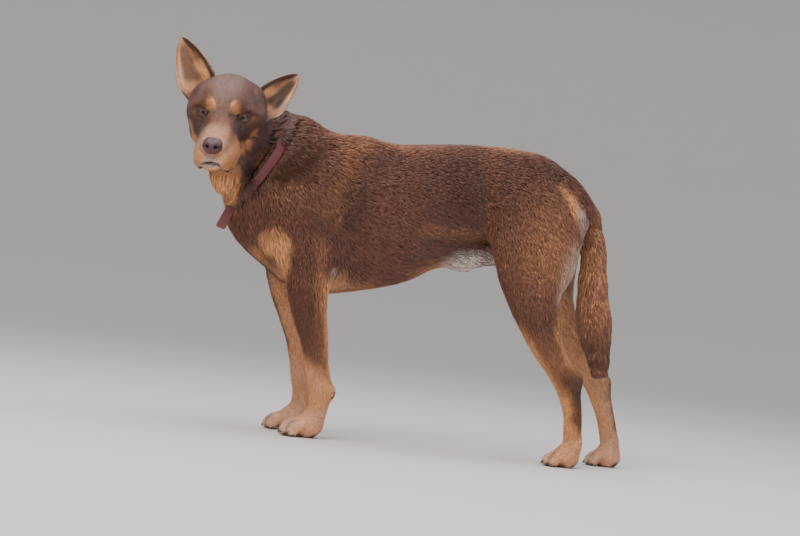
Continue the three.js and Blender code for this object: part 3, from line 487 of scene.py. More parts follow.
# Head: place and lie in its own frame, mirrored across the middle.
HEAD_COMB = [
    (72, 0, -15, -1, 0, 0.1, 5, 1.4), (30, 0, -6, -1, 0, 0.15, 6, 1.8), (60, 20, -32, -1, 0, -0.15, 6, 1.8),
    (25, 28, -34, -1, 0.1, -0.25, 7.5, 2.4), (80, 8, -46, -0.3, 0.6, -0.8, 4, 1.2),
    (50, 22, -52, -0.9, 0, -0.4, 6.5, 1.8), (50, 26, -72, -0.8, 0, -0.5, 6, 1.6), (74, 0, -72, -0.9, 0, -0.4, 5, 1.6),
    (40, 0, -74, -1, 0, -0.15, 9, 3.0), (0, 0, -78, -0.8, 0, -0.6, 20, 7), (2, 0, 8, -1, 0, 0.6, 6.5, 2.2),
    (-15, 0, 42, -1, 0, 0.25, 9, 2.6), (-50, 0, 52, -1, 0, 0, 11, 3.2), (-50, 32, 38, -1, 0.2, 0.1, 9.5, 2.4),
    (-62, 44, 16, -0.9, 0.3, 0, 10, 2.6), (0, 22, 14, -0.7, 0.5, 0.5, 5.5, 1.8), (-25, 45, 10, -1, 0.1, 0.1, 9, 2.6),
    (5, 36, -20, -0.9, 0.3, -0.3, 7, 2.2), (-25, 55, -14, -1, 0.05, -0.25, 8, 2.6),
    (-48, 56, -40, -0.9, 0.1, -0.6, 12, 4), (-75, 45, -40, -0.9, 0, -0.6, 24, 8.5),
    (-90, 38, 14, -1, 0.1, -0.3, 20, 7), (-100, 0, 20, -1, 0, -0.3, 20, 7),
]
# Paws: place and lie in the paw's own frame, and one length and depth for all.
PAW_COMB = [
    (0, 0, 38, 0.9, 0, -0.3), (26, 12, 24, 0.7, 0.1, -0.7), (26, -12, 24, 0.7, -0.1, -0.7), (-24, 0, 22, -0.2, 0, -1),
    (4, 24, 18, 0.7, 0.1, -0.7), (4, -24, 18, 0.7, -0.1, -0.7),
]
PAW_COAT = (4.6, 1.8)
# Legs and tail: height, length and depth of the coat. Its lie follows their own lines.
LEG_COAT = through(
    [(20, 4.5, 1.8), (60, 6, 2.4), (100, 6.5, 2.6), (150, 8, 3.2), (200, 10, 4.2), (270, 14, 5.6), (335, 16, 6.5)]
)
TAIL_COAT = through(
    [
        (138, 7, 1.6), (152, 15, 4.5), (175, 26, 8.5), (205, 34, 12), (236, 36, 14.5), (318, 34, 12), (395, 26, 9),
        (436, 22, 8),
    ]
)
# fmt: on


class Comb:
    """The coat's lie, length and depth anywhere on the body, spread from anchors near and far."""

    AT_ONCE = 20000  # points looked at together, to spare memory

    def __init__(self) -> None:
        rows = []
        for x, out, z, dx, dout, dz, length, depth in TRUNK_COMB:
            for side in (-1, 1) if out else (1,):
                rows.append((x, spine(x) + side * out, z, dx, side * dout, dz, length, depth))
        rows += NECK_COMB
        for x, y, z, dx, dy, dz, length, depth in HEAD_COMB:
            for side in (-1, 1) if y else (1,):
                at = HEAD.out(np.array([x, side * y, z], float))
                rows.append((*at, *HEAD.way(np.array([dx, side * dy, dz], float)), length, depth))
        for leg in LEGS.values():
            line = np.array(leg.line, float)
            for i in range(1, len(line) - 1):
                if line[i, 2] > LEG_TOP:
                    continue
                way = unit(line[i + 1, :3] - line[i - 1, :3])
                length, depth = LEG_COAT(line[i : i + 1, 2])[0]
                for across in (-1, 1):
                    for fore in (-1, 1):
                        at = line[i, :3] + (fore * 0.8 * line[i, 3], across * 0.6 * line[i, 4], 0)
                        longer = 1.35 if fore > 0 else 1.0
                        rows.append((*at, *way, length * longer, depth))
            for *at, dx, dy, dz in PAW_COMB:
                spot = leg.paw.out(np.array(at, float) * leg.size)
                rows.append((*spot, *leg.paw.way(np.array((dx, dy, dz), float)), *PAW_COAT))
        tail = np.array(TAIL_LINE, float)
        for i in range(1, len(tail)):
            way = unit(tail[i, :3] - tail[i - 1, :3])
            length, depth = TAIL_COAT(tail[i : i + 1, 2])[0]
            fan = 0.3 * smooth(tail[i, 2], 190, 260) - 0.45 * smooth(-tail[i, 2], -205, -160)
            for across in (-1, 1):
                at = tail[i, :3] + (across * 0.7 * tail[i, 3], 0, 0)
                rows.append((*at, *(way + (across * fan, 0, 0)), length, depth))
        table = np.array(rows, float)
        self.at = table[:, :3]
        self.values = np.column_stack([unit(table[:, 3:6]), table[:, 6:8]])

    def look(self, p: Array) -> tuple[Array, Array, Array]:
        """What the coat is like at points.

        Args:
            p: Points in the body's frame.
        Returns:
            The lie, not yet laid along the skin; the length; the depth.
        """
        found = np.empty((len(p), 5))
        for start in range(0, len(p), self.AT_ONCE):
            part = p[start : start + self.AT_ONCE]
            gap = np.sum(part**2, axis=1)[:, None] - 2 * part @ self.at.T + np.sum(self.at**2, axis=1)[None, :]
            weight = 1 / (np.maximum(gap, 0) + 60) ** 2.5
            found[start : start + self.AT_ONCE] = weight @ self.values / weight.sum(axis=1, keepdims=True)
        return found[:, :3], found[:, 3], found[:, 4]


COMB = Comb()


# ------------------------------------------------------------------ from arrays to Blender pieces
def shift() -> Array:
    """The offset from the body's frame to the row frame, in mm, read off the CAD eyes."""
    offsets = []
    for side in Side:
        low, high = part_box(f"eye_{side.name.lower()}")
        offsets.append(np.array((low + high) / 2) * 1000 - HEAD.out(EYES[side]))
    return np.mean(offsets, axis=0)


SHIFT = shift()


def to_row(p: Array) -> Array:
    """Points of the body's frame as metres in the row frame."""
    return (p + SHIFT) / 1000


def from_row(p: Array) -> Array:
    """Points of the row frame in metres as mm in the body's frame."""
    return p * 1000 - SHIFT


def make_mesh(name: str, points: Array, faces: Array) -> Piece:
    """A mesh object from arrays.

    Args:
        name: Its name.
        points: Corners in the body's frame, mm.
        faces: Corner numbers, all of the faces with the same number of corners.
    Returns:
        The object, in the row frame.
    """
    faces = np.asarray(faces, np.int32)
    corners = faces.shape[1]
    mesh = bpy.data.meshes.new(name)
    mesh.vertices.add(len(points))
    mesh.vertices.foreach_set("co", to_row(points).astype(np.float32).ravel())
    mesh.loops.add(faces.size)
    mesh.loops.foreach_set("vertex_index", faces.ravel())
    mesh.polygons.add(len(faces))
    mesh.polygons.foreach_set("loop_start", np.arange(0, faces.size, corners, dtype=np.int32))
    mesh.polygons.foreach_set("use_smooth", np.full(len(faces), True))
    mesh.update(calc_edges=True)
    mesh.validate()
    piece = bpy.data.objects.new(name, mesh)
    bpy.context.scene.collection.objects.link(piece)
    return piece


def points_of(piece: Piece) -> Array:
    """A piece's corners in the body's frame, mm."""
    co = np.empty(len(piece.data.vertices) * 3, np.float32)
    piece.data.vertices.foreach_get("co", co)
    return from_row(co.reshape(-1, 3).astype(float))


def put_points(piece: Piece, p: Array) -> None:
    """Moves a piece's corners."""
    piece.data.vertices.foreach_set("co", to_row(p).astype(np.float32).ravel())
    piece.data.update()


def normals_of(piece: Piece) -> Array:
    """A piece's smooth outward directions at its corners."""
    found = np.empty(len(piece.data.vertices) * 3, np.float32)
    piece.data.vertex_normals.foreach_get("vector", found)
    return found.reshape(-1, 3).astype(float)


def put_values(piece: Piece, name: str, values: Array) -> None:
    """Stores numbers at a piece's corners: one for each as a float, four for each as a colour."""
    if values.ndim == 1:
        attribute = piece.data.attributes.new(name, "FLOAT", "POINT")
        attribute.data.foreach_set("value", values.astype(np.float32))
    else:
        attribute = piece.data.attributes.new(name, "FLOAT_COLOR", "POINT")
        attribute.data.foreach_set("color", values.astype(np.float32).ravel())


def only(*pieces: Piece) -> None:
    """Selects some pieces alone and makes the first of them active."""
    bpy.ops.object.select_all(action="DESELECT")
    for piece in pieces:
        piece.select_set(True)
    bpy.context.view_layer.objects.active = pieces[0]


@contextmanager
def editing(piece: Piece) -> Iterator[None]:
    """Opens a piece for editing with all of it selected, and closes it afterwards."""
    only(piece)
    bpy.ops.object.mode_set(mode="EDIT")
    bpy.ops.mesh.select_all(action="SELECT")
    yield
    bpy.ops.object.mode_set(mode="OBJECT")


# ------------------------------------------------------------------ markings, with painted shade and highlights
def blob(p: Array, centre: Row, half: Row, soft: float = 0.35) -> Array:
    """A soft-edged oval patch: 1 inside and 0 outside."""
    return 1 - smooth(np.linalg.norm((p - np.array(centre)) / np.array(half), axis=1), 1 - soft, 1 + soft)


def streak(p: Array, start: Row, end: Row, radius: float, soft: float = 0.4) -> Array:
    """A soft-edged stripe between two points."""
    a, b = np.array(start, float), np.array(end, float)
    t = np.clip((p - a) @ (b - a) / np.sum((b - a) ** 2), 0, 1)
    off = np.linalg.norm(p - a - t[:, None] * (b - a), axis=1)
    return 1 - smooth(off / radius, 1 - soft, 1 + soft)


def over(*masks: Array) -> Array:
    """Patches laid over each other."""
    left = np.ones(len(masks[0]))
    for mask in masks:
        left = left * (1 - np.clip(mask, 0, 1))
    return 1 - left


def mirrored(p: Array) -> Array:
    """Points folded onto the dog's left side of the head."""
    return np.column_stack([p[:, 0], np.abs(p[:, 1]), p[:, 2]])


def ripple(p: Array, scale: float, seed: float = 0.0) -> Array:
    """A soft uneven value from -1 to 1 with patches about `scale` mm across."""
    q = p / scale
    return (
        np.sin(q[:, 0] * 1.7 + 1.3 * np.sin(q[:, 1] * 1.1 + seed) + seed)
        + np.sin(q[:, 1] * 1.9 + 1.2 * np.sin(q[:, 2] * 1.3 + seed) + 2 * seed)
        + np.sin(q[:, 2] * 1.5 + 1.1 * np.sin(q[:, 0] * 0.9 - seed) - seed)
    ) / 3


class Patches:
    """The five kinds of marking, gathered patch by patch; the dark, rust and cream kinds also carry painted shade and
    highlights.
    """

    def __init__(self, count: int) -> None:
        self.found = {kind: [np.zeros(count)] for kind in ("tan", "cream", "rust", "dark", "bare")}

    def add(self, **patches: Array) -> None:
        """Lays one more patch over each of the named kinds."""
        for kind, patch in patches.items():
            self.found[kind].append(patch)

    def laid(self) -> list[Array]:
        """The tan, cream, rust, dark and bare shares."""
        return [over(*patches) for patches in self.found.values()]


@dataclass(frozen=True)
class Markings:
    """The red-and-tan pattern of the coat, with painted shade and highlights among it, as soft patches with wavering
    edges.
    """

    waver: float = 3.0  # mm that an edge wanders
    head_reach: float = 200  # mm from the head's middle to which its own pattern goes

    def head(self, h: Array) -> tuple[Array, ...]:
        """Tan, cream, rust, dark and bare shares in the head's own frame."""
        m = mirrored(h)
        x, y, z = h[:, 0], m[:, 1], h[:, 2]
        spots = blob(m, (13, 18.0, 17.5), (16, 7.0, 9.0), 0.14)
        flat = m * [1, 0.4, 1]
        slash = over(
            streak(flat, (-14, 21, -24), (-18, 18, -46), 5.6, 0.3),
            streak(flat, (-18, 18, -46), (-24, 15, -70), 8, 0.35),
        )
        reach = np.interp(z, (-64, -56, -50, -45, -36, -30, -17, -8), (-24, -18, -8, 1, 15, 22, 31, 30))
        ridge = smooth(z + 0.12 * y, -31, -13)
        muzzle = smooth(x - reach, -2, 4) * smooth(x, -30, -18)
        under = smooth(-z, 64, 71) * smooth(x, -22, -8) * (1 - smooth(y, 30, 40))
        tan = over(spots, slash, 0.92 * muzzle * (1 - ridge), under)
        bridge = smooth(x, 10, 48) * ridge * (1 - smooth(y, 15, 24))
        tan = over(tan, 0.3 * bridge)
        rust = over(0.95 * bridge, 0.3 * muzzle * (1 - ridge))
        # Paler hair on the crown, with a painted sheen of the sky on the top of the head.
        pale_crown_and_sheen = 0.12 * (1 - smooth(y, 12, 34)) * smooth(z, -12, 6)
        lips = blob(m, (84, 0, -54), (14, 15, 10), 0.4)
        nose_side = blob(m, (76, 17, -34), (10, 7, 15), 0.5)
        cream = over(0.6 * lips, 0.3 * nose_side, pale_crown_and_sheen * (1 - spots), 0.12 * bridge)
        mask = over(
            streak(m, (20, 25, -14), (-8, 40, -46), 13, 0.3),
            0.8 * blob(m, (0, 38, -12), (14, 14, 9), 0.5),
        )
        rim = blob(m, (2, 30, -1.5), (16, 14, 8), 0.4)
        # Painted shade in the crease between the eye and the root of the ear.
        crease = blob(m, (-40, 44, 16), (13, 13, 12), 0.5)
        dark = np.clip(over(0.45 * rim, 0.5 * mask, 0.4 * crease) - 2 * (spots + slash) - muzzle * (1 - ridge), 0, 1)
        corner = blob(m, (52, 25, -74), (15, 8, 5), 0.3)
        chin = blob(m, (82, 0, -61), (12, 16, 5), 0.35)
        cream = np.maximum(cream, 0.7 * chin)
        bare = over(self.lips(h), 0.9 * corner, 0.66 * chin, 0.36 * lips)
        return tan, cream, rust, np.maximum(dark, 0.8 * corner), bare

    @staticmethod
    def mouth(h: Array) -> tuple[Array, Array]:
        """How far points are above the line of the mouth, and where along it they are, from front (0) to corner (1)."""
        y = np.abs(h[:, 1])
        along = np.clip((88 - h[:, 0]) / 50 + y / 90, 0, 1.4)
        line = np.interp(along, (0.05, 0.2, 0.4, 0.62, 0.85, 1.2), (-53, -57, -64, -70, -73.5, -75))
        return h[:, 2] - line, along

    def lips(self, h: Array) -> Array:
        """The bare dark edges of the lips."""
        above, along = self.mouth(h)
        front = smooth(h[:, 0], 34, 42)
        gape = bell((above, -1.2, np.interp(along, (0.1, 0.4, 0.8), (2.6, 1.8, 2.6))))
        return front * np.clip(1.2 * gape, 0, 1)

    def body(self, p: Array) -> list[Array]:
        """Tan, cream, rust, dark and bare shares on trunk, neck, tail and legs."""
        x, y, z = p.T
        on = Patches(len(p))
        bib = over(blob(p, (-164, -70, 404), (27, 60, 26), 0.2), blob(p, (-156, -62, 380), (21, 60, 26), 0.22))
        on.add(tan=over(bib, blob(p, (-152, -50, 364), (13, 50, 14), 0.3)), rust=0.35 * bib)
        middle = 1 - smooth(np.abs(y - spine(x)), 4, 10)
        for side in (-1, 1):
            self.on_flank(side, p, middle, on)
        # Painted shadow under the jaw, between the cheek and the collar.
        on.add(dark=blob(p, (-116, -84, 415), (20, 44, 40), 0.35))
        # Dark hair at the edge of the throat patch, with painted shade over it.
        on.add(dark=0.8 * blob(p, (-190, -50, 388), (10, 60, 28), 0.4))
        on.add(dark=0.9 * middle * blob(p, (-84, spine(-84), 276), (44, 14, 50), 0.4))
        belly = blob(p, (252, spine(252), 302), (50, 60, 30), 0.4)
        on.add(cream=belly * (1 - smooth(z, 326, 342)))
        on.add(rust=0.8 * blob(p, (186, spine(186), 290), (48, 50, 22), 0.5))
        on.add(tan=0.45 * blob(p, (196, spine(196), 288), (34, 44, 16), 0.5))
        tail = smooth(-TAIL(p), -4, 2) * smooth(x, 408, 424)
        on.add(rust=tail * (0.75 - 0.5 * smooth(-z, -270, -180)))
        tip = smooth(-z, -250, -170)
        on.add(dark=tail * 0.35 * over(tip, 0.8 * blob(p, (446, -12, 372), (12, 40, 26), 0.6)))
        for name, leg in LEGS.items():
            self.on_leg(name, leg, p, tail, on)
        return on.laid()

    @staticmethod
    def on_flank(side: int, p: Array, middle: Array, on: Patches) -> None:
        """Adds the patches of one side of the trunk, with its golden hair, painted highlights and patches of painted
        shade.
        """

        def upright(start: Row, end: Row, radius: float, flat: float = 0.2) -> Array:
            """A stripe that reaches through the coat sideways."""
            ends = ((x, side * y, z) for x, y, z in (start, end))
            return streak(p * [1, flat, 1], *ends, radius, 0.8)

        patch = blob(p, (-68, spine(-68) + side * 60, 300), (27, 44, 20), 0.25)
        low = blob(p, (-52, spine(-52) + side * 52, 272), (10, 44, 26), 0.3)
        front = blob(p, (-100, spine(-100) + side * 26, 282), (16, 22, 12), 0.3)
        on.add(tan=over(patch, low, 0.8 * front) * (1 - middle))
        # Golden hair, with painted highlights among it: the glints on the side of the neck, the lighter top of the back
        # and the light line along the fold of the flank.
        for golden in (
            0.26 * blob(p, (-50, side * 84, 424), (46, 46, 34), 0.8),
            0.22 * blob(p, (-56, side * 88, 396), (44, 46, 22), 0.8),
            0.6 * upright((38, 12, 466), (12, 12, 360), 14, 0.15),
            0.5 * blob(p, (84, side * 46, 486), (90, 60, 18), 0.8),
            0.8 * blob(p, (290, side * 22, 500), (64, 40, 11), 0.6),
            0.3 * upright((252, 12, 478), (262, 10, 350), 11),
            0.4 * upright((170, 14, 352), (262, 10, 356), 9),
            0.55 * blob(p, (372, spine(372) + side * 84, 340), (34, 50, 56), 0.8),
            0.6 * blob(p, (60, spine(60) + side * 30, 244), (90, 60, 18), 0.6),
        ):
            on.add(rust=golden)
        # Painted highlight along the top of the back.
        on.add(tan=0.55 * blob(p, (290, side * 22, 503), (44, 30, 7), 0.6))
        on.add(tan=0.16 * blob(p, (352, spine(352) + side * 84, 340), (52, 60, 80), 0.8))
        on.add(tan=0.85 * streak(p, (378, side * 66 - 12, 438), (402, side * 62 - 12, 398), 8.5, 0.5))
        on.add(cream=0.8 * streak(p, (402, side * 58 - 12, 398), (420, side * 26 - 12, 350), 7, 0.5))
        # Painted shade: darker patches on the croup, the side of the neck, the flank and behind the upper arm.
        on.add(dark=0.4 * blob(p, (350, spine(350) + side * 60, 466), (30, 34, 18), 0.6))
        on.add(dark=0.62 * blob(p, (-52, side * 80, 436), (48, 60, 54), 0.8))
        on.add(dark=0.4 * blob(p, (222, side * 74, 424), (70, 54, 56), 0.9))
        on.add(dark=0.35 * blob(p, (40, side * 84, 372), (34, 44, 60), 0.8))

    @staticmethod
    def on_leg(name: str, leg: Leg, p: Array, tail: Array, on: Patches) -> None:
        """Adds the patches of one leg and its paw."""
        x, y, z = p.T
        line = np.array(leg.line, float)[::-1]
        cx, cy, depth, width = (np.interp(z, line[:, 2], line[:, i]) for i in (0, 1, 3, 4))
        side = -1 if name.endswith("left") else 1
        u = (x - cx) / depth
        inner = -side * (y - cy) / width
        q = leg.paw.into(p) / leg.size
        by_paw = (np.abs(q[:, 0]) < 50) * (np.abs(q[:, 1]) < 40)
        here = smooth(side * y, 12, 22) * (1 - smooth(np.abs(u), 1.5, 1.8)) * (1 - tail)
        here = np.maximum(here * (1 - smooth(z, 300, 330)), (z < 40) * by_paw)
        if name.startswith("fore"):
            outside = 1 - smooth(inner, 1.15, 1.5)
            low = 1 - smooth(z + 16 * u, 92, 128)
            stripe = smooth(u, 0.55, 0.85) * (1 - smooth(z, 246, 264))
            within = smooth(inner, 0.1, 0.6) * (1 - smooth(z, 240, 285))
            on.add(tan=here * over(low, stripe, within) * outside)
            behind = 1 - smooth(np.abs(u - 0.5), 0.1, 0.4)
            on.add(rust=here * over(0.5 * (1 - smooth(z, 100, 170)), 0.4 * behind))
            on.add(cream=here * over(0.14 * within, 0.1 * low) * outside)
            on.add(cream=0.5 * blob(p, (leg.line[1][0] + 38, leg.line[1][1] - side * 4, 262), (7, 14, 8), 0.4))
            pad = np.array(leg.muscles[-1][0], float)
            on.add(bare=blob(p, pad + (5, 0, -3), (7, 8, 10), 0.3))
        else:
            front = smooth(-u, 0.6, 0.92) * (1 - smooth(z, 190, 232))
            rear = smooth(u, 0.5, 0.85) * smooth(z, 150, 165) * (1 - smooth(z, 190, 250))
            low = 1 - smooth(z + 10 * u, 52, 84)
            within = smooth(inner, 0.0, 0.6) * (1 - smooth(z, 250, 310))
            shin = (1 - smooth(u, -0.35, 0.15)) * (1 - smooth(z, 100, 134))
            on.add(tan=here * over(0.85 * front, 0.7 * rear, low, within, shin))
            on.add(rust=here * 0.75 * (1 - smooth(z, 150, 235)), cream=here * 0.15 * within)
            hock = smooth(z, 108, 122) * (1 - smooth(z, 140, 158)) * smooth(u, -0.5, 0.2)
            heel_line = smooth(u, 0.1, 0.55) * smooth(z, 46, 66) * (1 - smooth(z, 118, 130))
            on.add(dark=here * over(0.6 * hock, 0.55 * heel_line) * (1 - 0.8 * smooth(inner, 0.2, 0.7)))
            edge = smooth(u, 0.62, 0.95) * smooth(z, 240, 270) * (1 - smooth(z, 330, 370)) * (1 - tail)
            edge = 0.5 * edge * smooth(side * y, 20, 30)
            on.add(cream=edge, tan=edge)
        paw = (z < 46) * by_paw
        on.add(cream=paw * (0.12 + 0.3 * smooth(q[:, 0], 10, 32)))
        # Painted shade in the clefts between the toes.
        clefts = sum(bell((np.abs(q[:, 1]), gap, 1.5)) for gap in (0, 12.6))
        on.add(dark=paw * 0.55 * clefts * smooth(q[:, 0], 6, 16))
        sole = (1 - smooth(q[:, 2], 4.5, 8.5)) * by_paw
        heel = blob(q, (-22, 0, 9), (12, 15, 9), 0.3)
        on.add(bare=over(sole, heel))

    def everywhere(self, p: Array) -> tuple[Array, Array]:
        """The markings at points of the body's frame.

        Args:
            p: The points.
        Returns:
            Four shares (tan, cream, rust, dark) for each point, and how bare the skin is there.
        """
        wave = np.column_stack([ripple(p, 6.0, s) for s in (0.3, 1.7, 2.9)]) * self.waver
        h = HEAD.into(p)
        share = smooth(h[:, 0], -70, -52) * smooth(h[:, 2], -100, -88)
        share *= smooth(self.head_reach - np.linalg.norm(h, axis=1), 0, 20)
        share *= 1 - smooth(np.abs(h[:, 1]), 64, 82)
        on_head = self.head(h + 0.45 * wave)
        on_body = self.body(p + wave)
        mixed = [share * a + (1 - share) * b for a, b in zip(on_head, on_body)]
        return np.clip(np.column_stack(mixed[:4]), 0, 1), np.clip(mixed[4], 0, 1)


MARKINGS = Markings()


# ------------------------------------------------------------------ finishes
def linear(hexadecimal: str) -> tuple[float, float, float, float]:
    """An sRGB hex colour as linear numbers for a shader."""
    parts = [int(hexadecimal[i : i + 2], 16) / 255 for i in (1, 3, 5)]
    return (*((c / 12.92 if c <= 0.04045 else ((c + 0.055) / 1.055) ** 2.4) for c in parts), 1.0)


class Wiring:
    """A short way to write a node material."""

    def __init__(self, name: str) -> None:
        self.material = bpy.data.materials.new(name)
        self.material.use_nodes = True
        self.tree = self.material.node_tree
        self.shader = self.tree.nodes["Principled BSDF"]

    def node(self, kind: str, **settings: object) -> bpy.types.Node:
        """A node with its settings; keys that name an input set its value."""
        made = self.tree.nodes.new(kind)
        for key, value in settings.items():
            if hasattr(made, key):
                setattr(made, key, value)
            else:
                made.inputs[key.replace("_", " ")].default_value = value
        return made

    def join(self, start: Socket, end: Socket) -> None:
        """A link between two sockets."""
        self.tree.links.new(start, end)

    def blend(self, share: object, below: object, above: object, kind: str = "MIX") -> Socket:
        """Mixes two colours, each a socket or a hex string, by a share that is a socket or a number."""
        mix = self.node("ShaderNodeMix", data_type="RGBA", blend_type=kind)
        for socket, value in ((mix.inputs[0], share), (mix.inputs[6], below), (mix.inputs[7], above)):
            if isinstance(value, Socket):
                self.join(value, socket)
            elif isinstance(value, str):
                socket.default_value = linear(value)
            else:
                socket.default_value = value
        return mix.outputs[2]

    def count(self, operation: str, *values: object) -> Socket:
        """A sum or another operation on sockets and numbers."""
        made = self.node("ShaderNodeMath", operation=operation)
        for socket, value in zip(made.inputs, values):
            if isinstance(value, Socket):
                self.join(value, socket)
            else:
                socket.default_value = value
        return made.outputs[0]

    def on_object(self, kind: str, **settings: object) -> bpy.types.Node:
        """A texture that lies still on the object."""
        made = self.node(kind, **settings)
        self.join(self.node("ShaderNodeTexCoord").outputs["Object"], made.inputs["Vector"])
        return made

    def noise(self, scale: float, detail: float = 3.0, stretch: Row = (1, 1, 1)) -> Socket:
        """Soft noise that lies still on the object; scale is per metre."""
        mapping = self.on_object("ShaderNodeMapping", Scale=stretch)
        noise = self.node("ShaderNodeTexNoise", Scale=scale, Detail=detail)
        self.join(mapping.outputs[0], noise.inputs["Vector"])
        return noise.outputs["Fac"]

    def bump(self, height: Socket, strength: float, distance: float) -> None:
        """Fine relief on the shader's surface; distance is in metres."""
        made = self.node("ShaderNodeBump", Strength=strength, Distance=distance)
        self.join(height, made.inputs["Height"])
        self.join(made.outputs[0], self.shader.inputs["Normal"])

    def grey(self, value: Socket) -> Socket:
        """A number as a shade of grey."""
        made = self.node("ShaderNodeCombineColor")
        for socket in made.inputs[:3]:
            self.join(value, socket)
        return made.outputs[0]

    def surface(self, colour: Socket | str, **inputs: object) -> bpy.types.Material:
        """Gives the shader its colour and its other inputs.

        Args:
            colour: A socket or a hex string.
            inputs: Values by the names of the shader's inputs, with underscores for spaces.
        Returns:
            The finished material.
        """
        if isinstance(colour, str):
            self.shader.inputs["Base Color"].default_value = linear(colour)
        else:
            self.join(colour, self.shader.inputs["Base Color"])
        for key, value in inputs.items():
            self.shader.inputs[key.replace("_", " ")].default_value = value
        return self.material

    def attribute(self, name: str) -> Socket:
        """A number stored on the piece."""
        return self.node("ShaderNodeAttribute", attribute_name=name).outputs["Fac"]

    def shares(self, name: str) -> list[Socket]:
        """The four numbers of a stored colour."""
        made = self.node("ShaderNodeAttribute", attribute_name=name)
        parts = self.node("ShaderNodeSeparateColor")
        self.join(made.outputs["Color"], parts.inputs[0])
        return [*parts.outputs, made.outputs["Alpha"]]


@dataclass(frozen=True)
class Pelage:
    """The red-and-tan coat of a kelpie: liver-brown hair with golden tips, and rich tan points, with painted shade,
    highlights and sheen.
    """

    brown_root: str = "#432619"
    brown: str = "#6b4130"
    brown_tip: str = "#98634d"
    # The rust colours also carry painted highlights.
    rust: str = "#8a5434"
    rust_tip: str = "#c48a5c"
    tan: str = "#d98a4c"
    tan_tip: str = "#f4b87f"
    # Cream also carries the painted sheen on the crown and the painted glow inside the ears.
    cream: str = "#e6d5cc"
    # Dark also carries painted shade: under the jaw, in the ears, between the toes and on the body's darker patches.
    dark: str = "#1f100b"
    bare: str = "#2b1f21"
    bare_light: str = "#4b3c3e"

    def colour(self, wiring: Wiring, along: object, chance: object) -> Socket:
        """The colour of the hair, from the markings stored on the piece.

        Args:
            wiring: The material to write into.
            along: How far from root to tip, a socket or a number.
            chance: A value that differs from tuft to tuft, a socket or a number.
        Returns:
            The colour's socket.
        """
        # The dark share also carries painted shade, and the rust and cream shares painted highlights and sheen.
        tan, cream, rust, dark = wiring.shares("markings")
        fleck = wiring.noise(420, 2)
        body = wiring.blend(along, self.brown_root, self.brown)
        body = wiring.blend(wiring.count("MULTIPLY", along, fleck), body, self.brown_tip)
        golden = wiring.blend(along, self.rust, self.rust_tip)
        streaky = wiring.count("MULTIPLY", rust, wiring.count("MULTIPLY_ADD", chance, 1.5, 0.2))
        body = wiring.blend(wiring.count("MINIMUM", streaky, 1.0), body, golden)
        points = wiring.blend(along, self.tan, self.tan_tip)
        body = wiring.blend(tan, body, points)
        grain = wiring.count("MULTIPLY_ADD", wiring.noise(330, 3, (0.45, 1, 1)), 0.9, 0.55)
        body = wiring.blend(0.85, body, wiring.grey(grain), "MULTIPLY")
        pale = wiring.count("MULTIPLY", cream, wiring.count("MULTIPLY_ADD", chance, 0.7, 0.65))
        body = wiring.blend(wiring.count("MINIMUM", pale, 1.0), body, self.cream)
        return wiring.blend(dark, body, self.dark)


@dataclass(frozen=True)
class HairFinish(Pelage):
    """Dog's guard hair in tufts: soft, faintly glossy, each tuft a little different in tone."""

    def make(self) -> bpy.types.Material:
        """The material of the coat."""
        wiring = Wiring("kelpie_guard_hair")
        shade, tip, clump, _ = wiring.shares("strand")
        colour = self.colour(wiring, tip, shade)
        tone = wiring.count("ADD", wiring.count("MULTIPLY", shade, 0.7), wiring.count("MULTIPLY", clump, 0.3))
        toned = wiring.blend(1.0, colour, wiring.grey(wiring.count("ADD", tone, 0.5)), "MULTIPLY")
        return wiring.surface(
            toned,
            Roughness=0.48,
            Specular_IOR_Level=0.42,
            Sheen_Weight=0.14,
            Sheen_Roughness=0.4,
            Sheen_Tint=linear("#d8c8cc"),
        )


@dataclass(frozen=True)
class SkinFinish(Pelage):
    """The undercoat and short flat hair over the hide, with bare dark lips, eye rims and pads."""

    def make(self) -> bpy.types.Material:
        """The material of the skin."""
        wiring = Wiring("kelpie_undercoat_and_hide")
        hair = wiring.noise(1500, 2, (0.35, 1, 1))
        colour = self.colour(wiring, wiring.count("MULTIPLY", hair, 0.9), hair)
        bare = wiring.attribute("bare")
        leather = wiring.blend(wiring.noise(700, 4), self.bare, self.bare_light)
        rough = wiring.node("ShaderNodeMapRange", To_Min=0.72, To_Max=0.42)
        wiring.join(bare, rough.inputs["Value"])
        wiring.join(rough.outputs[0], wiring.shader.inputs["Roughness"])
        wiring.bump(hair, 0.5, 0.0006)
        return wiring.surface(wiring.blend(bare, colour, leather), Sheen_Weight=0.08, Specular_IOR_Level=0.3)


@dataclass(frozen=True)
class EyeFinish:
    """A moist brown eye: amber iris with a dark ring and fine spokes, black pupil, dull white."""

    iris: str = "#4b3227"
    iris_light: str = "#7d5c49"
    ring: str = "#1d1314"
    pupil: str = "#080606"
    white: str = "#4a332f"

    def make(self) -> bpy.types.Material:
        """The material of the eyeballs."""
        wiring = Wiring("moist_amber_eye")
        off = wiring.attribute("off_axis")
        spokes = wiring.noise(900, 4)
        inner = wiring.blend(spokes, self.iris, self.iris_light)

        def step(low: float, high: float) -> Socket:
            made = wiring.node("ShaderNodeMapRange", interpolation_type="SMOOTHSTEP", From_Min=low, From_Max=high)
            wiring.join(off, made.inputs["Value"])
            return made.outputs[0]

        colour = wiring.blend(step(0.24, 0.31), self.pupil, inner)
        colour = wiring.blend(step(0.58, 0.76), colour, self.ring)
        colour = wiring.blend(step(0.86, 0.98), colour, self.white)
        return wiring.surface(colour, Roughness=0.22, Specular_IOR_Level=0.2, Coat_Weight=0.16, Coat_Roughness=0.03)


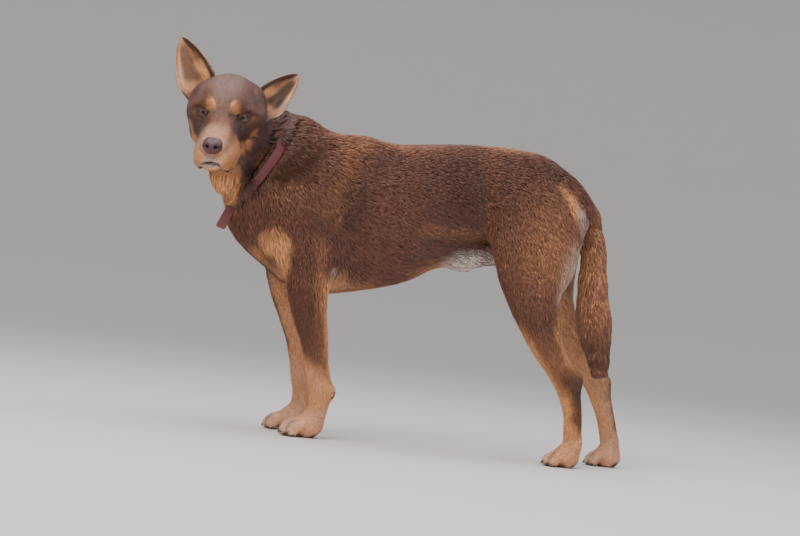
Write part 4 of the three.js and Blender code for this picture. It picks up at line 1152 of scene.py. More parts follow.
@dataclass(frozen=True)
class NoseFinish:
    """The pebbled, moist, liver-coloured leather of the nose."""

    leather: str = "#44292b"
    light: str = "#5a3d41"
    # Painted shade in the nostrils.
    nostril_shade: str = "#120c0d"

    def make(self) -> bpy.types.Material:
        """The material of the nose."""
        wiring = Wiring("moist_liver_nose")
        pebbles = wiring.on_object("ShaderNodeTexVoronoi", feature="F1", Scale=1300)
        colour = wiring.blend(wiring.noise(260, 3), self.leather, self.light)
        colour = wiring.blend(wiring.attribute("nostril"), colour, self.nostril_shade)
        wiring.bump(pebbles.outputs["Distance"], 0.5, 0.0005)
        return wiring.surface(colour, Roughness=0.42, Specular_IOR_Level=0.45)


@dataclass(frozen=True)
class HornFinish:
    """Dark claw horn with fine lengthwise grain, paler where it is worn."""

    root: str = "#5b4a40"
    tip: str = "#2d2724"
    worn: str = "#8a7767"

    def make(self) -> bpy.types.Material:
        """The material of the claws."""
        wiring = Wiring("dark_claw_horn")
        along = wiring.attribute("along")
        grain = wiring.noise(1600, 3, (0.2, 1, 1))
        colour = wiring.blend(along, self.root, self.tip)
        colour = wiring.blend(wiring.count("MULTIPLY", grain, 0.35), colour, self.worn)
        wiring.bump(grain, 0.25, 0.0003)
        return wiring.surface(colour, Roughness=0.4)


@dataclass(frozen=True)
class StrapFinish:
    """Worn red-brown collar leather: fine grain, rubbed lighter in patches and along its edges."""

    leather: str = "#5f222a"
    worn: str = "#8a4244"
    deep: str = "#371217"

    def make(self) -> bpy.types.Material:
        """The material of the collar."""
        wiring = Wiring("worn_red_leather")
        grain = wiring.on_object("ShaderNodeTexVoronoi", feature="DISTANCE_TO_EDGE", Scale=900)
        colour = wiring.blend(wiring.noise(60, 5), self.deep, self.leather)
        worn = wiring.count("MULTIPLY", wiring.noise(160, 4), wiring.attribute("edge"))
        colour = wiring.blend(worn, colour, self.worn)
        wiring.bump(grain.outputs["Distance"], 0.35, 0.0006)
        return wiring.surface(colour, Roughness=0.5, Specular_IOR_Level=0.45)


# ------------------------------------------------------------------ the skin
FLESH_NODES = (
    "head", "neck", "trunk", "tail",
    "foreleg_left", "foreleg_right", "hindleg_left", "hindleg_right",
    "paw_fore_left", "paw_fore_right", "paw_hind_left", "paw_hind_right",
)  # fmt: skip
EAR_NODES = ("ear_left", "ear_right")


def eye_frame(side: Side) -> Place:
    """An eye's own frame: +X out between the lids, +Y to the outer corner, +Z up, in mm on the body."""
    sign = -side.value
    turn = turned("Z", sign * 14) @ turned("X", sign * -3)
    basis = HEAD.basis @ turn
    if side is Side.RIGHT:
        basis = basis @ np.diag([1.0, -1.0, 1.0])
    return Place(HEAD.out(EYES[side]), basis)


@dataclass(frozen=True)
class Lids:
    """The almond-shaped opening of an eye, with lids that lie on the eyeball and run out into the face."""

    half_width: float = 9.6
    inner_reach: float = 10.8
    upper: float = 4.7
    lower: float = 3.7
    rim: float = 1.4
    reach: float = 7.0  # how far from the opening the lid runs out into the face
    around: int = 96
    steps: tuple[float, ...] = (-1.3, -0.6, -0.1, 0.25, 0.7, 1.3, 2.2, 3.4, 4.8, 6.2, 7.4)  # of the lid, off its edge

    def edge(self, angle: Array) -> Array:
        """The opening's outline at angles round the eye's axis, as arcs (outwards, up) on the eyeball."""
        c, s = np.cos(angle), np.sin(angle)
        across = np.where(c > 0, self.half_width, self.inner_reach) * c
        rise = np.where(s > 0, self.upper, self.lower) * np.sign(s) * np.abs(s) ** 1.1
        lean = np.where(c > 0, 0.0, -1.0) * np.abs(c) ** 3
        return np.column_stack([across, rise + lean])

    def off(self, arcs: Array) -> Array:
        """How far arcs lie outside the opening; less than nothing inside it."""
        rim = self.edge(np.linspace(-np.pi, np.pi, 181)[:-1])
        bearing = np.arctan2(rim[:, 1], rim[:, 0])
        order = np.argsort(bearing)
        reach = np.hypot(rim[:, 0], rim[:, 1])[order]
        found = np.interp(np.arctan2(arcs[:, 1], arcs[:, 0]), bearing[order], reach, period=2 * np.pi)
        return np.hypot(arcs[:, 0], arcs[:, 1]) - found

    def radius(self, off: Array, face: Array) -> Array:
        """The lid's distance from the middle of the eye, where the face would be at `face`."""
        blend = smooth(off, 0.6, self.reach)
        margin = EYE_RADIUS + 0.2 + self.rim * smooth(off, -0.25, 1.2)
        return margin * (1 - blend) + face * blend

    def arcs(self, place: Place, p: Array) -> tuple[Array, Array]:
        """Points as arcs on the eyeball and distances from its middle."""
        q = place.into(p)
        radius = np.linalg.norm(q, axis=1)
        angle = np.arccos(np.clip(q[:, 0] / np.maximum(radius, NOTHING), -1, 1))
        ring = np.maximum(np.hypot(q[:, 1], q[:, 2]), NOTHING)
        return q[:, 1:] / ring[:, None] * angle[:, None] * EYE_RADIUS, radius

    def tuck(self, place: Place, p: Array) -> Array:
        """Moves points of the face under the lids and behind the eyeball."""
        arcs, radius = self.arcs(place, p)
        off = self.off(arcs)
        under = self.radius(off, radius) - 1.0 * (1 - smooth(off, self.reach - 1, self.reach + 1))
        wanted = np.where(off < 0.9, EYE_RADIUS - 1.8, np.minimum(radius, under))
        close = (off < self.reach + 1) & (radius < EYE_RADIUS + 22) & (place.into(p)[:, 0] > -6)
        scale = np.where(close, wanted / np.maximum(radius, NOTHING), 1.0)
        return place.origin + (p - place.origin) * scale[:, None]

    def ring(self, place: Place, face: BVHTree) -> tuple[Array, Array, Array, Array, Array]:
        """The lids of one eye.

        Args:
            place: The eye's frame.
            face: The face before it was tucked under the lids.
        Returns:
            Corners, triangles, how much each corner belongs to the dark rim and to the pale lower edge, and the
            way the hair lies.
        """
        edge = self.edge(np.linspace(0, 2 * np.pi, self.around, endpoint=False))
        outward = unit(np.roll(edge, -1, axis=0) - np.roll(edge, 1, axis=0))
        outward = unit(np.column_stack([outward[:, 1], -outward[:, 0]]) + 0.6 * unit(edge))
        rows, rims, pales = [], [], []
        below = smooth(-edge[:, 1], 0.2, 2.2)
        for off in self.steps:
            arcs = edge + outward * off
            angle = np.hypot(arcs[:, 0], arcs[:, 1])
            way = np.column_stack(
                [np.cos(angle / EYE_RADIUS), arcs / angle[:, None] * np.sin(angle / EYE_RADIUS)[:, None]]
            )
            ways = place.way(way)
            hit = np.array([self.depth_along(face, place.origin, w) for w in ways])
            for _ in range(3):
                hit = (np.roll(hit, 1) + 2 * hit + np.roll(hit, -1)) / 4
            radius = self.radius(np.full(self.around, off), hit)
            radius = np.where(off < -1, EYE_RADIUS - 0.5, np.where(off < -0.5, EYE_RADIUS - 0.1, radius))
            sunk = 1.6 if off > self.reach else 0.25 * smooth(np.array([off]), 3, 6)[0]
            rows.append(place.origin + ways * (radius - sunk)[:, None])
            rims.append(1 - smooth(off - 1.2 * (1 - below), 0.8, 2.6))
            pales.append(below * bell((off, 1.0, 0.9)))
        points = np.concatenate(rows)
        spread = np.concatenate([unit(row - rows[0].mean(axis=0)) for row in rows])
        lie = spread * 0.6 + HEAD.way(np.tile([-0.8, 0, 0.1], (len(points), 1)))
        faces = triangles(grid_faces(len(self.steps), self.around, closed=True))
        if np.sum(facing(points, faces) @ place.basis[:, 0]) < 0:
            faces = faces[:, ::-1]
        return points, faces, np.concatenate(rims), np.concatenate(pales), lie

    @staticmethod
    def depth_along(face: BVHTree, start: Array, way: Array) -> float:
        """How far out the face lies along a direction from the middle of the eye."""
        reach = 4.0
        for _ in range(4):
            hit = face.ray_cast(Vector(start + way * reach), Vector(way), 40)
            if hit[0] is None:
                return max(reach, EYE_RADIUS)
            reach += hit[3]
            if hit[1].dot(Vector(way)) > 0:
                return max(reach, EYE_RADIUS - 2)
            reach += 0.2
        return max(reach, EYE_RADIUS)


def grid_faces(rows: int, columns: int, closed: bool = False) -> Array:
    """Four-sided faces of a grid of corners, row after row, closed into a ring along its columns if asked."""
    i, j = np.meshgrid(np.arange(rows - 1), np.arange(columns if closed else columns - 1), indexing="ij")
    i, j = i.ravel(), j.ravel()
    k = (j + 1) % columns
    return np.column_stack([i * columns + j, i * columns + k, (i + 1) * columns + k, (i + 1) * columns + j])


def triangles(quads: Array) -> Array:
    """Each four-sided face as two triangles."""
    return np.concatenate([quads[:, [0, 1, 2]], quads[:, [0, 2, 3]]])


def facing(points: Array, faces: Array) -> Array:
    """The way each triangle faces, as long as twice its area."""
    a, b, c = (points[faces[:, i]] for i in range(3))
    return np.cross(b - a, c - a)


def tree_of(points: Array, faces: Array) -> BVHTree:
    """A search tree over triangles."""
    return BVHTree.FromPolygons(points.tolist(), faces.tolist(), all_triangles=True)


@dataclass(frozen=True)
class Ear:
    """A pricked ear: a pointed leaf of thin hide, curled round its own length and open to the front."""

    side: Side
    at: tuple[float, float, float]
    axis: tuple[float, float, float]
    outer: tuple[float, float, float]
    length: float
    half: float
    thickness: float = 3.6
    sunk: float = 0.16  # how far its foot runs on into the head, as a share of its length
    along: int = 44
    across: int = 36

    WIDTH = staticmethod(through([(0, 0.8), (0.22, 1.0), (0.5, 0.88), (0.75, 0.6), (0.92, 0.29), (1, 0.04)]))
    CURL = staticmethod(through([(0, 1.5), (0.3, 1.15), (0.7, 0.75), (1, 0.4)]))

    def build(self) -> dict[str, Array]:
        """The ear as a closed shell: corners, triangles, and what its coat is like at each corner."""
        up = unit(np.array(self.axis))
        out = unit(np.array(self.outer) - np.dot(self.outer, up) * up)
        front = np.cross(up, out) * (1 if self.side is Side.RIGHT else -1)
        s, a = np.meshgrid(np.linspace(-self.sunk, 1, self.along), np.linspace(-1, 1, self.across), indexing="ij")
        s, a = s.ravel(), a.ravel()
        length, half = self.length - 1.6, self.half - 1.0
        share, curl = self.WIDTH(np.maximum(s, 0))[:, 0], self.CURL(np.maximum(s, 0))[:, 0]
        share = share * (1 + 0.25 * np.minimum(s, 0) / self.sunk)
        radius = half * share / np.sin(np.minimum(curl, np.pi / 2))
        angle = a * curl
        rim = np.sqrt(np.maximum(1 - np.abs(a) ** 5, 0)) * np.sqrt(np.maximum(1 - np.maximum(s, 0) ** 8, 0))
        sheets, facts = [], []
        for face in (1, -1):
            thick = self.thickness * (1.35 - 0.5 * np.maximum(s, 0))
            wall = radius + face * thick * rim / 2
            if face < 0:
                fold = 1.5 * bell((a, 0.35, 0.12)) * smooth(s, 0.02, 0.15) * (1 - smooth(s, 0.35, 0.6))
                wall = wall - (fold + 1.2 * bell((a, -0.45, 0.1)) * (1 - smooth(s, 0.3, 0.5)))
            ahead = radius * np.cos(curl) - wall * np.cos(angle) + 0.06 * length * np.maximum(s, 0) ** 2
            p = np.array(self.at) + up * (length * s)[:, None] + out * (wall * np.sin(angle))[:, None]
            sheets.append(HEAD.out(p + front * ahead[:, None]))
            lean = out[None, :] * (0.45 * a * (1 if face > 0 else 0.8))[:, None]
            facts.append((s, a, np.full(len(s), face), HEAD.way(up[None, :] + lean)))
        points = np.concatenate(sheets)
        s, a, face, lie = (np.concatenate([f[i] for f in facts]) for i in range(4))
        faces = self.faces()
        centre = HEAD.out(np.array(self.at) + up * length * 0.4 - front * radius.mean())
        outward = np.sum(facing(points, faces) * (points[faces].mean(axis=1) - centre), axis=1)
        if np.sum(outward[face[faces].min(axis=1) > 0]) < 0:
            faces = faces[:, ::-1]
        return {"points": points, "faces": faces, "s": s, "a": a, "face": face, "lie": lie}

    def faces(self) -> Array:
        """The triangles of both sheets, joined along their edges."""
        n, m = self.along, self.across
        sheet = grid_faces(n, m)
        back = n * m
        j, i = np.arange(m - 1), np.arange(n - 1)
        top, low, high = (n - 1) * m + j, i * m, (i + 1) * m
        left, right = low + m - 1, high + m - 1
        quads = [sheet, sheet[:, ::-1] + back]
        for edge in (
            (j, back + j, back + j + 1, j + 1),
            (top, top + 1, back + top + 1, back + top),
            (low, high, back + high, back + low),
            (left, back + left, back + right, right),
        ):
            quads.append(np.column_stack(edge))
        return triangles(np.concatenate(quads))[:, ::-1]

    def coat(self, made: dict[str, Array]) -> dict[str, Array]:
        """The markings, bareness, length and depth of the coat at each corner."""
        s, a, inside = made["s"], made["a"], made["face"] < 0
        left = self.side is Side.LEFT
        fur = smooth(a, -0.82, -0.6) * (1 - smooth(a, -0.2, 0.1)) * smooth(s, 0.12, 0.2) * (1 - smooth(s, 0.42, 0.58))
        outer = smooth(a, 0.3, 0.6) * (1 - smooth(s, 0.24, 0.4)) + smooth(a, 0.55, 0.8) * (1 - smooth(s, 0.6, 0.8))
        outer = 0.85 * np.clip(outer, 0, 1) * smooth(s, 0.05, 0.1)
        centre = smooth(a, -0.3, 0.0) * (1 - smooth(a, 0.5, 0.75)) * smooth(s, 0.2, 0.34) * (1 - smooth(s, 0.8, 0.95))
        tan = inside * over(0.9 * fur, outer, 0.5 * smooth(a, -0.6, 0.2) * (1 - 0.8 * centre))
        rust = over(inside * 0.75 * centre, 0.3 * inside, ~inside * 0.3 * smooth(s, 0.2, 0.9))
        # A painted glow: a pale spot inside the ear.
        painted_glow = bell((a, 0.72, 0.16), (s, 0.42, 0.14))
        thin = smooth(np.abs(a), 0.93, 0.99) * smooth(s, 0.16, 0.3)
        cream = over(inside * 0.12 * smooth(a, -0.5, 0.2), inside * 0.3 * painted_glow, 0.4 * thin)
        wider = 0.5 * smooth(s, 0.6, 0.95)  # the dark edge, towards the tip
        band = smooth(-a, 0.55 - wider, 0.8 - wider) + smooth(a, 0.84, 0.93) * smooth(s, 0.3, 0.5)
        # Painted shadow in the ear canal, over its dark hair.
        canal = bell((a, -0.12, 0.2), (s, 0.3, 0.09))
        # Painted shade inside the ear, deeper in the left ear than the right.
        shade = smooth(a, 0.2, 0.5) * (1 - smooth(s, 0.4, 0.6))
        dark = over(
            inside * 0.8 * np.clip(band, 0, 1) * (1 - thin),
            inside * 0.95 * canal,
            0.6 * (1 - smooth(s, 0.06, 0.15)),
            inside * (0.8 if left else 0.5) * centre,
            inside * (0.45 if left else 0.1) * shade,
        )
        shaggy = over(fur, smooth(np.abs(a), 0.6, 0.9) * (1 - smooth(s, 0.3, 0.6)))
        length = np.where(inside, 5.0 + 9 * shaggy, 5.5)
        return {
            "marks": np.clip(np.column_stack([tan, cream, rust, dark]), 0, 1),
            "bare": 0.0 * s,
            "length": length * (1 - 0.35 * np.maximum(s, 0)),
            "depth": np.where(inside, 1.0, 1.2),
        }


EARS = (
    Ear(Side.LEFT, (-48, 54, 3), (-0.74, 0.48, 0.5), (0.15, 0.66, -0.73), 93, 28),
    Ear(Side.RIGHT, (-55, -48, 17), (-0.42, -0.46, 0.8), (0.1, -0.9, -0.42), 94, 31),
)


class Region(Enum):
    """A part of the body whose coat is a piece of its own."""

    HEAD = 0
    EARS = 1
    NECK = 2
    TRUNK_LEFT = 3
    TRUNK_RIGHT = 4
    FORELEGS = 5
    HINDLEGS = 6
    TAIL = 7


@dataclass
class Skin:
    """One skin over the whole body, inside the CAD flesh by the depth of the coat."""

    voxel: float = 4.0  # mm between corners on the body
    swell: float = 0.7  # mm that the copies of the flesh grow, to close the cuts between them
    probe: float = 0.6  # mm over which the slope of the flesh is measured
    depth_at_soles: tuple[float, float] = (1, 9)  # heights between which the coat's depth sets in
    lids: Lids = Lids()

    def build(self) -> Piece:
        """Makes the skin and keeps its arrays for the coat.

        Returns:
            The finished object.
        """
        base = self.joined_flesh()
        p = self.laid(points_of(base), turns=4)
        put_points(base, p)
        self.relax(base, turns=6)
        p = self.laid(points_of(base), turns=2)
        put_points(base, p)
        self.refine(base)
        p = self.laid(points_of(base), turns=2)
        p = self.sculpt(p)
        faces = self.face_array(base)
        bpy.data.objects.remove(base)
        whole = tree_of(p, faces)
        marks, bare = MARKINGS.everywhere(p)
        lie, length, depth = COMB.look(p)
        kept = dict(marks=marks, bare=bare, lie=lie, length=length, depth=depth)
        parts = [dict(points=p, faces=faces, region=self.regions(p), **kept)]
        for side in Side:
            place = eye_frame(side)
            parts[0]["points"] = self.lids.tuck(place, parts[0]["points"])
            points, ring, rim, pale, lie = self.lids.ring(place, whole)
            marks, bare = MARKINGS.everywhere(points)
            marks[:, 3] = np.maximum(marks[:, 3], rim * 0.9) * (1 - 0.5 * pale)
            marks[:, 1] = np.maximum(marks[:, 1], 0.32 * pale)
            bare = np.maximum(bare, rim * (1 - 0.5 * pale))
            _, length, depth = COMB.look(points)
            kept = dict(marks=marks, bare=bare, lie=lie, length=length * 0.7, depth=depth * 0.6)
            parts.append(dict(points=points, faces=ring, region=np.zeros(len(points), int), **kept))
        for ear in EARS:
            made = ear.build()
            region = np.full(len(made["points"]), Region.EARS.value)
            sheet = {key: made[key] for key in ("points", "faces", "lie")}
            parts.append(dict(**sheet, region=region, **ear.coat(made)))
        return self.assemble(parts)

    def joined_flesh(self) -> Piece:
        """Copies of the CAD flesh, grown into each other and wrapped by one even mesh."""
        copies = []
        for name in FLESH_NODES:
            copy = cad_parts[name].copy()
            copy.data = copy.data.copy()
            copy.parent = None
            bpy.context.scene.collection.objects.link(copy)
            copies.append(copy)
        only(*copies)
        bpy.ops.object.join()
        base = bpy.context.view_layer.objects.active
        for key in [k for k in base.keys() if k.startswith("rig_")]:
            del base[key]
        with editing(base):
            bpy.ops.mesh.remove_doubles(threshold=0.00002)
            bpy.ops.transform.shrink_fatten(value=self.swell / 1000)
        base.data.remesh_voxel_size = self.voxel / 1000
        base.data.remesh_voxel_adaptivity = 0
        bpy.ops.object.voxel_remesh()
        base.name = "skin_base"
        LOG.info("wrapped flesh: %d corners", len(base.data.vertices))
        return base

    def laid(self, p: Array, turns: int) -> Array:
        """Draws points onto the surface that lies inside the flesh by the coat's depth.

        Args:
            p: The points.
            turns: How many steps to take.
        Returns:
            The moved points.
        """
        depth = COMB.look(p)[2]
        for _ in range(turns):
            sole = smooth(p[:, 2], *self.depth_at_soles)
            value = BODY(p)
            slope = np.column_stack([BODY(p + self.probe * e) - value for e in np.eye(3)]) / self.probe
            steep = np.maximum(np.sum(slope**2, axis=1), 0.2)
            step = np.clip((value + depth * sole) / steep, -5, 5)
            p = p - slope * step[:, None]
            p[:, 2] = np.maximum(p[:, 2], 0.05)
        return p

    def relax(self, base: Piece, turns: int) -> None:
        """Evens out the corners with Blender's smooth modifier, applied."""
        only(base)
        even = base.modifiers.new("even", "SMOOTH")
        even.factor = 0.5
        even.iterations = turns
        bpy.ops.object.modifier_apply(modifier="even")

    def refine(self, base: Piece) -> None:
        """Splits the faces of the face, so that it can carry finer forms."""
        work = bmesh.new()
        work.from_mesh(base.data)
        for depth_of_face in (-50, -14):
            h = HEAD.into(from_row(np.array([v.co for v in work.verts])))
            fine = (h[:, 0] > depth_of_face) & (h[:, 2] > -92) & (np.linalg.norm(h, axis=1) < 150)
            if depth_of_face > -20:
                eyes = np.min([np.linalg.norm(h - EYES[s], axis=1) for s in Side], axis=0)
                above, _ = MARKINGS.mouth(h)
                fine &= (eyes < 24) | ((np.abs(above) < 9) & (h[:, 0] > 24))
            flags = fine.tolist()
            work.verts.index_update()
            edges = [e for e in work.edges if flags[e.verts[0].index] and flags[e.verts[1].index]]
            bmesh.ops.subdivide_edges(work, edges=edges, cuts=1, use_grid_fill=True)
        bmesh.ops.triangulate(work, faces=work.faces)
        work.to_mesh(base.data)
        work.free()
        LOG.info("skin with a finer face: %d corners", len(base.data.vertices))

    @staticmethod
    def face_array(base: Piece) -> Array:
        """The triangles of a mesh of triangles."""
        found = np.empty(len(base.data.polygons) * 3, np.int32)
        base.data.polygons.foreach_get("vertices", found)
        return found.reshape(-1, 3)

    def sculpt(self, p: Array) -> Array:
        """Adds the folds of the face: the stop, the line of the mouth, the lips and the whisker beds."""
        h = HEAD.into(p)
        m = mirrored(h)
        x, y, z = m.T
        slope = np.column_stack([BODY(p + self.probe * e) - BODY(p - self.probe * e) for e in np.eye(3)])
        normal = unit(slope)
        on_face = smooth(x, -60, -40) * smooth(z, -95, -85) * (np.linalg.norm(h, axis=1) < 150)
        above, along = Markings.mouth(h)
        front = smooth(x, 34, 44)
        gape = np.interp(along, (0.1, 0.35, 0.6), (3.6, 2.4, 2.2))
        push = -gape * bell((above, -0.8, np.interp(along, (0.1, 0.4), (2.1, 1.5)))) * front
        push += 0.9 * bell((above, 4, 3)) * front
        push += 0.5 * bell((above, -4.5, 2.5)) * front
        push -= 0.9 * bell((y, 0, 3.5)) * smooth(x, -38, -26) * (1 - smooth(x, 8, 22)) * smooth(z, -4, 6)
        push -= 0.5 * blob(m, (12, 14, -6), (12, 6, 9), 0.6)
        push += 0.3 * blob(m, (2, 33, 10), (14, 12, 5), 0.6)
        push -= 0.8 * blob(m, (16, 30, -14), (10, 10, 5), 0.7)
        push -= 3.0 * blob(h, (-56, 56, 22), (28, 18, 15), 0.9)
        beds = np.zeros(len(p))
        for row in range(4):
            for i in range(5):
                beds += blob(m, (44 + 8 * i, 26 - 1.9 * i, -36 - 4.6 * row + 0.7 * i), (1.7, 4, 1.7), 0.6)
        push += 0.45 * beds
        push -= 1.2 * bell((y, 0, 1.3)) * smooth(x, 80, 86) * (1 - smooth(z, -44, -40)) * smooth(above, 0, 2)
        return p + normal * (push * on_face + self.muscles(p))[:, None]

    @staticmethod
    def muscles(p: Array) -> Array:
        """How far the hollows between the muscles of trunk and legs sink the skin, and their edges lift it."""
        push = np.zeros(len(p))
        flat = p * [1, 0.15, 1]
        for side in (-1, 1):
            for depth, radius, start, end in (
                (-2.6, 11, (250, 480), (262, 345)),  # in front of the thigh
                (1.2, 14, (272, 470), (284, 350)),
                (-2.8, 10, (34, 420), (12, 350)),  # behind the upper arm
                (-2.4, 9, (12, 350), (26, 290)),
                (1.2, 12, (0, 430), (-12, 350)),
                (-2.2, 11, (-14, 458), (-66, 392)),  # between the neck and the shoulder
                (1.2, 8, (176, 352), (250, 358)),  # the fold of the flank
                (-2.2, 8, (182, 336), (262, 338)),
                (-1.6, 12, (318, 470), (352, 380)),  # along the thigh
                (-1.5, 14, (120, 440), (150, 330)),  # behind the ribs' arch
                (-1.4, 14, (196, 470), (206, 380)),
            ):
                mask = streak(flat, (start[0], side * 11, start[1]), (end[0], side * 11, end[1]), radius, 0.9)
                push += depth * mask * smooth(side * (p[:, 1] - spine(p[:, 0])), 14, 36)
        return push

    @staticmethod
    def regions(p: Array) -> Array:
        """The number of the region that each point belongs to."""
        x, y, z = p.T
        h = HEAD.into(p)
        found = np.where(y < spine(x), Region.TRUNK_LEFT.value, Region.TRUNK_RIGHT.value)
        found[(x < -20 + 0.5 * (z - 400)) & (z > 366)] = Region.NECK.value
        found[(np.abs(y - spine(x)) > 22) & (z < 300) & (x < 75)] = Region.FORELEGS.value
        found[(np.abs(y - spine(x)) > 20) & (z < 300) & (x > 262)] = Region.HINDLEGS.value
        low = z < 228
        found[low] = np.where(x[low] < 150, Region.FORELEGS.value, Region.HINDLEGS.value)
        close = (x > 395) & (z < 440) & (z > 120)
        on_tail = np.zeros(len(p), bool)
        on_tail[close] = TAIL(p[close]) < 1.5
        found[on_tail & (x > 408)] = Region.TAIL.value
        on_head = (h[:, 0] > -62) & (h[:, 2] > -95) & (np.linalg.norm(h, axis=1) < 170)
        found[on_head] = Region.HEAD.value
        return found

    def assemble(self, parts: list[dict[str, Array]]) -> Piece:
        """Joins the body, lids and ears into one mesh and stores what the coat needs."""
        counts = np.cumsum([0] + [len(part["points"]) for part in parts])
        self.faces = np.concatenate([part["faces"] + start for part, start in zip(parts, counts)])
        for key in ("points", "marks", "bare", "lie", "length", "depth", "region"):
            setattr(self, key, np.concatenate([part[key] for part in parts]))
        skin = make_mesh("skin", self.points, self.faces)
        put_values(skin, "markings", self.marks)
        put_values(skin, "bare", self.bare)
        with editing(skin):
            bpy.ops.uv.smart_project(angle_limit=math.radians(66), island_margin=0.001)
        skin.data.uv_layers[0].name = "hide"
        flat = np.empty(len(self.faces) * 6, np.float32)
        skin.data.uv_layers[0].data.foreach_get("uv", flat)
        self.unwrap = flat.reshape(-1, 3, 2)
        self.normals = normals_of(skin)
        self.tree = tree_of(self.points, self.faces)
        skin.data.materials.append(SkinFinish().make())
        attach(skin, "root")
        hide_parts(*FLESH_NODES, *EAR_NODES)
        LOG.info("skin: %d triangles", len(self.faces))
        return skin


# ------------------------------------------------------------------ eyes, nose and claws
CAMERA_AT = np.array([130.0, -3500, 250])
CAMERA_AIM = np.array([130.0, 0, 287.7])


@dataclass(frozen=True)
class Eyes:
    """Two eyeballs with a bulging front, looking at whoever stands beside the dog."""

    rings: int = 40
    around: int = 48
    bulge: float = 0.6

    def build(self) -> None:
        """Makes both eyeballs, each standing for its CAD node."""
        finish = EyeFinish().make()
        for side in Side:
            name = f"eye_{side.name.lower()}"
            centre = HEAD.out(EYES[side])
            gaze = unit(0.85 * eye_frame(side).basis[:, 0] + 0.15 * unit(CAMERA_AT - centre))
            across = unit(np.cross(UP, gaze))
            up = np.cross(gaze, across)
            off = np.linspace(0, np.pi, self.rings) ** 1.25 / np.pi**0.25
            turn = np.linspace(0, 2 * np.pi, self.around, endpoint=False)
            o, t = (v.ravel() for v in np.meshgrid(off, turn, indexing="ij"))
            reach = EYE_RADIUS - 0.15 + self.bulge * bell((o, 0, 0.5))
            way = np.column_stack([np.cos(o), np.sin(o) * np.cos(t), np.sin(o) * np.sin(t)]) @ [gaze, across, up]
            faces = triangles(grid_faces(self.rings, self.around, closed=True))
            piece = make_mesh(name.replace("eye", "eyeball"), centre + way * reach[:, None], faces)
            put_values(piece, "off_axis", o)
            tidy_poles(piece)
            piece.data.materials.append(finish)
            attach(piece, "root")
            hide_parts(name)
        LOG.info("eyes: two balls of radius %.1f mm", EYE_RADIUS)


def tidy_poles(piece: Piece) -> None:
    """Merges the doubled corners where a grid closes to a point, and turns the faces outwards."""
    with editing(piece):
        bpy.ops.mesh.remove_doubles(threshold=0.000005)
        bpy.ops.mesh.normals_make_consistent(inside=False)


@dataclass(frozen=True)
class Nose:
    """The nose leather: a rounded pad with two comma-shaped nostrils and a groove down its middle."""

    rings: int = 72
    around: int = 120

    def build(self) -> None:
        """Makes the nose, standing for its CAD node."""
        turn = np.linspace(0, 2 * np.pi, self.around, endpoint=False)
        o, t = (v.ravel() for v in np.meshgrid(np.linspace(0, np.pi, self.rings), turn, indexing="ij"))
        d = np.column_stack([np.cos(o), np.sin(o) * np.cos(t), np.sin(o) * np.sin(t)])
        squared = np.sign(d) * np.abs(d) ** 0.9
        d = squared / (np.sum(np.abs(squared) ** 2.35, axis=1) ** (1 / 2.35))[:, None]
        side, rise = np.abs(d[:, 1]), d[:, 2]
        front = smooth(d[:, 0], 0.1, 0.5)
        pit = bell((side, 0.48, 0.17), (rise, 0.2, 0.21))
        slit = bell((rise - 0.04, 0.12 * side, 0.085)) * smooth(side, 0.46, 0.6) * (1 - smooth(side, 0.9, 1.0))
        wing = bell((side, 0.74, 0.13), (rise, 0.28, 0.3))
        groove = bell((side, 0, 0.05)) * (1 - smooth(rise, -0.1, 0.45))
        push = front * (-5.5 * pit + 0.9 * wing - 1.0 * groove) - 2.2 * slit * smooth(d[:, 0], -0.1, 0.3)
        push -= 0.7 * bell((side, 0, 0.3)) * smooth(rise, 0.4, 0.9)
        narrow = 1 - 0.16 * smooth(-rise, 0.1, 1.0)
        half = NOSE_HALF - 0.5
        local = d * half * np.column_stack([np.ones(len(d)), narrow, np.ones(len(d))])
        local = local + unit(d / half) * push[:, None]
        points = HEAD.out(local @ turned("Y", math.degrees(0.15)).T + NOSE_AT)
        piece = make_mesh("nose_leather", points, triangles(grid_faces(self.rings, self.around, closed=True)))
        put_values(piece, "nostril", np.clip(front * 1.35 * pit**0.7 + 0.6 * slit * smooth(d[:, 0], 0, 0.3), 0, 1))
        tidy_poles(piece)
        piece.data.materials.append(NoseFinish().make())
        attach(piece, "root")
        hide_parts("nose")
        LOG.info("nose: %d corners", len(piece.data.vertices))


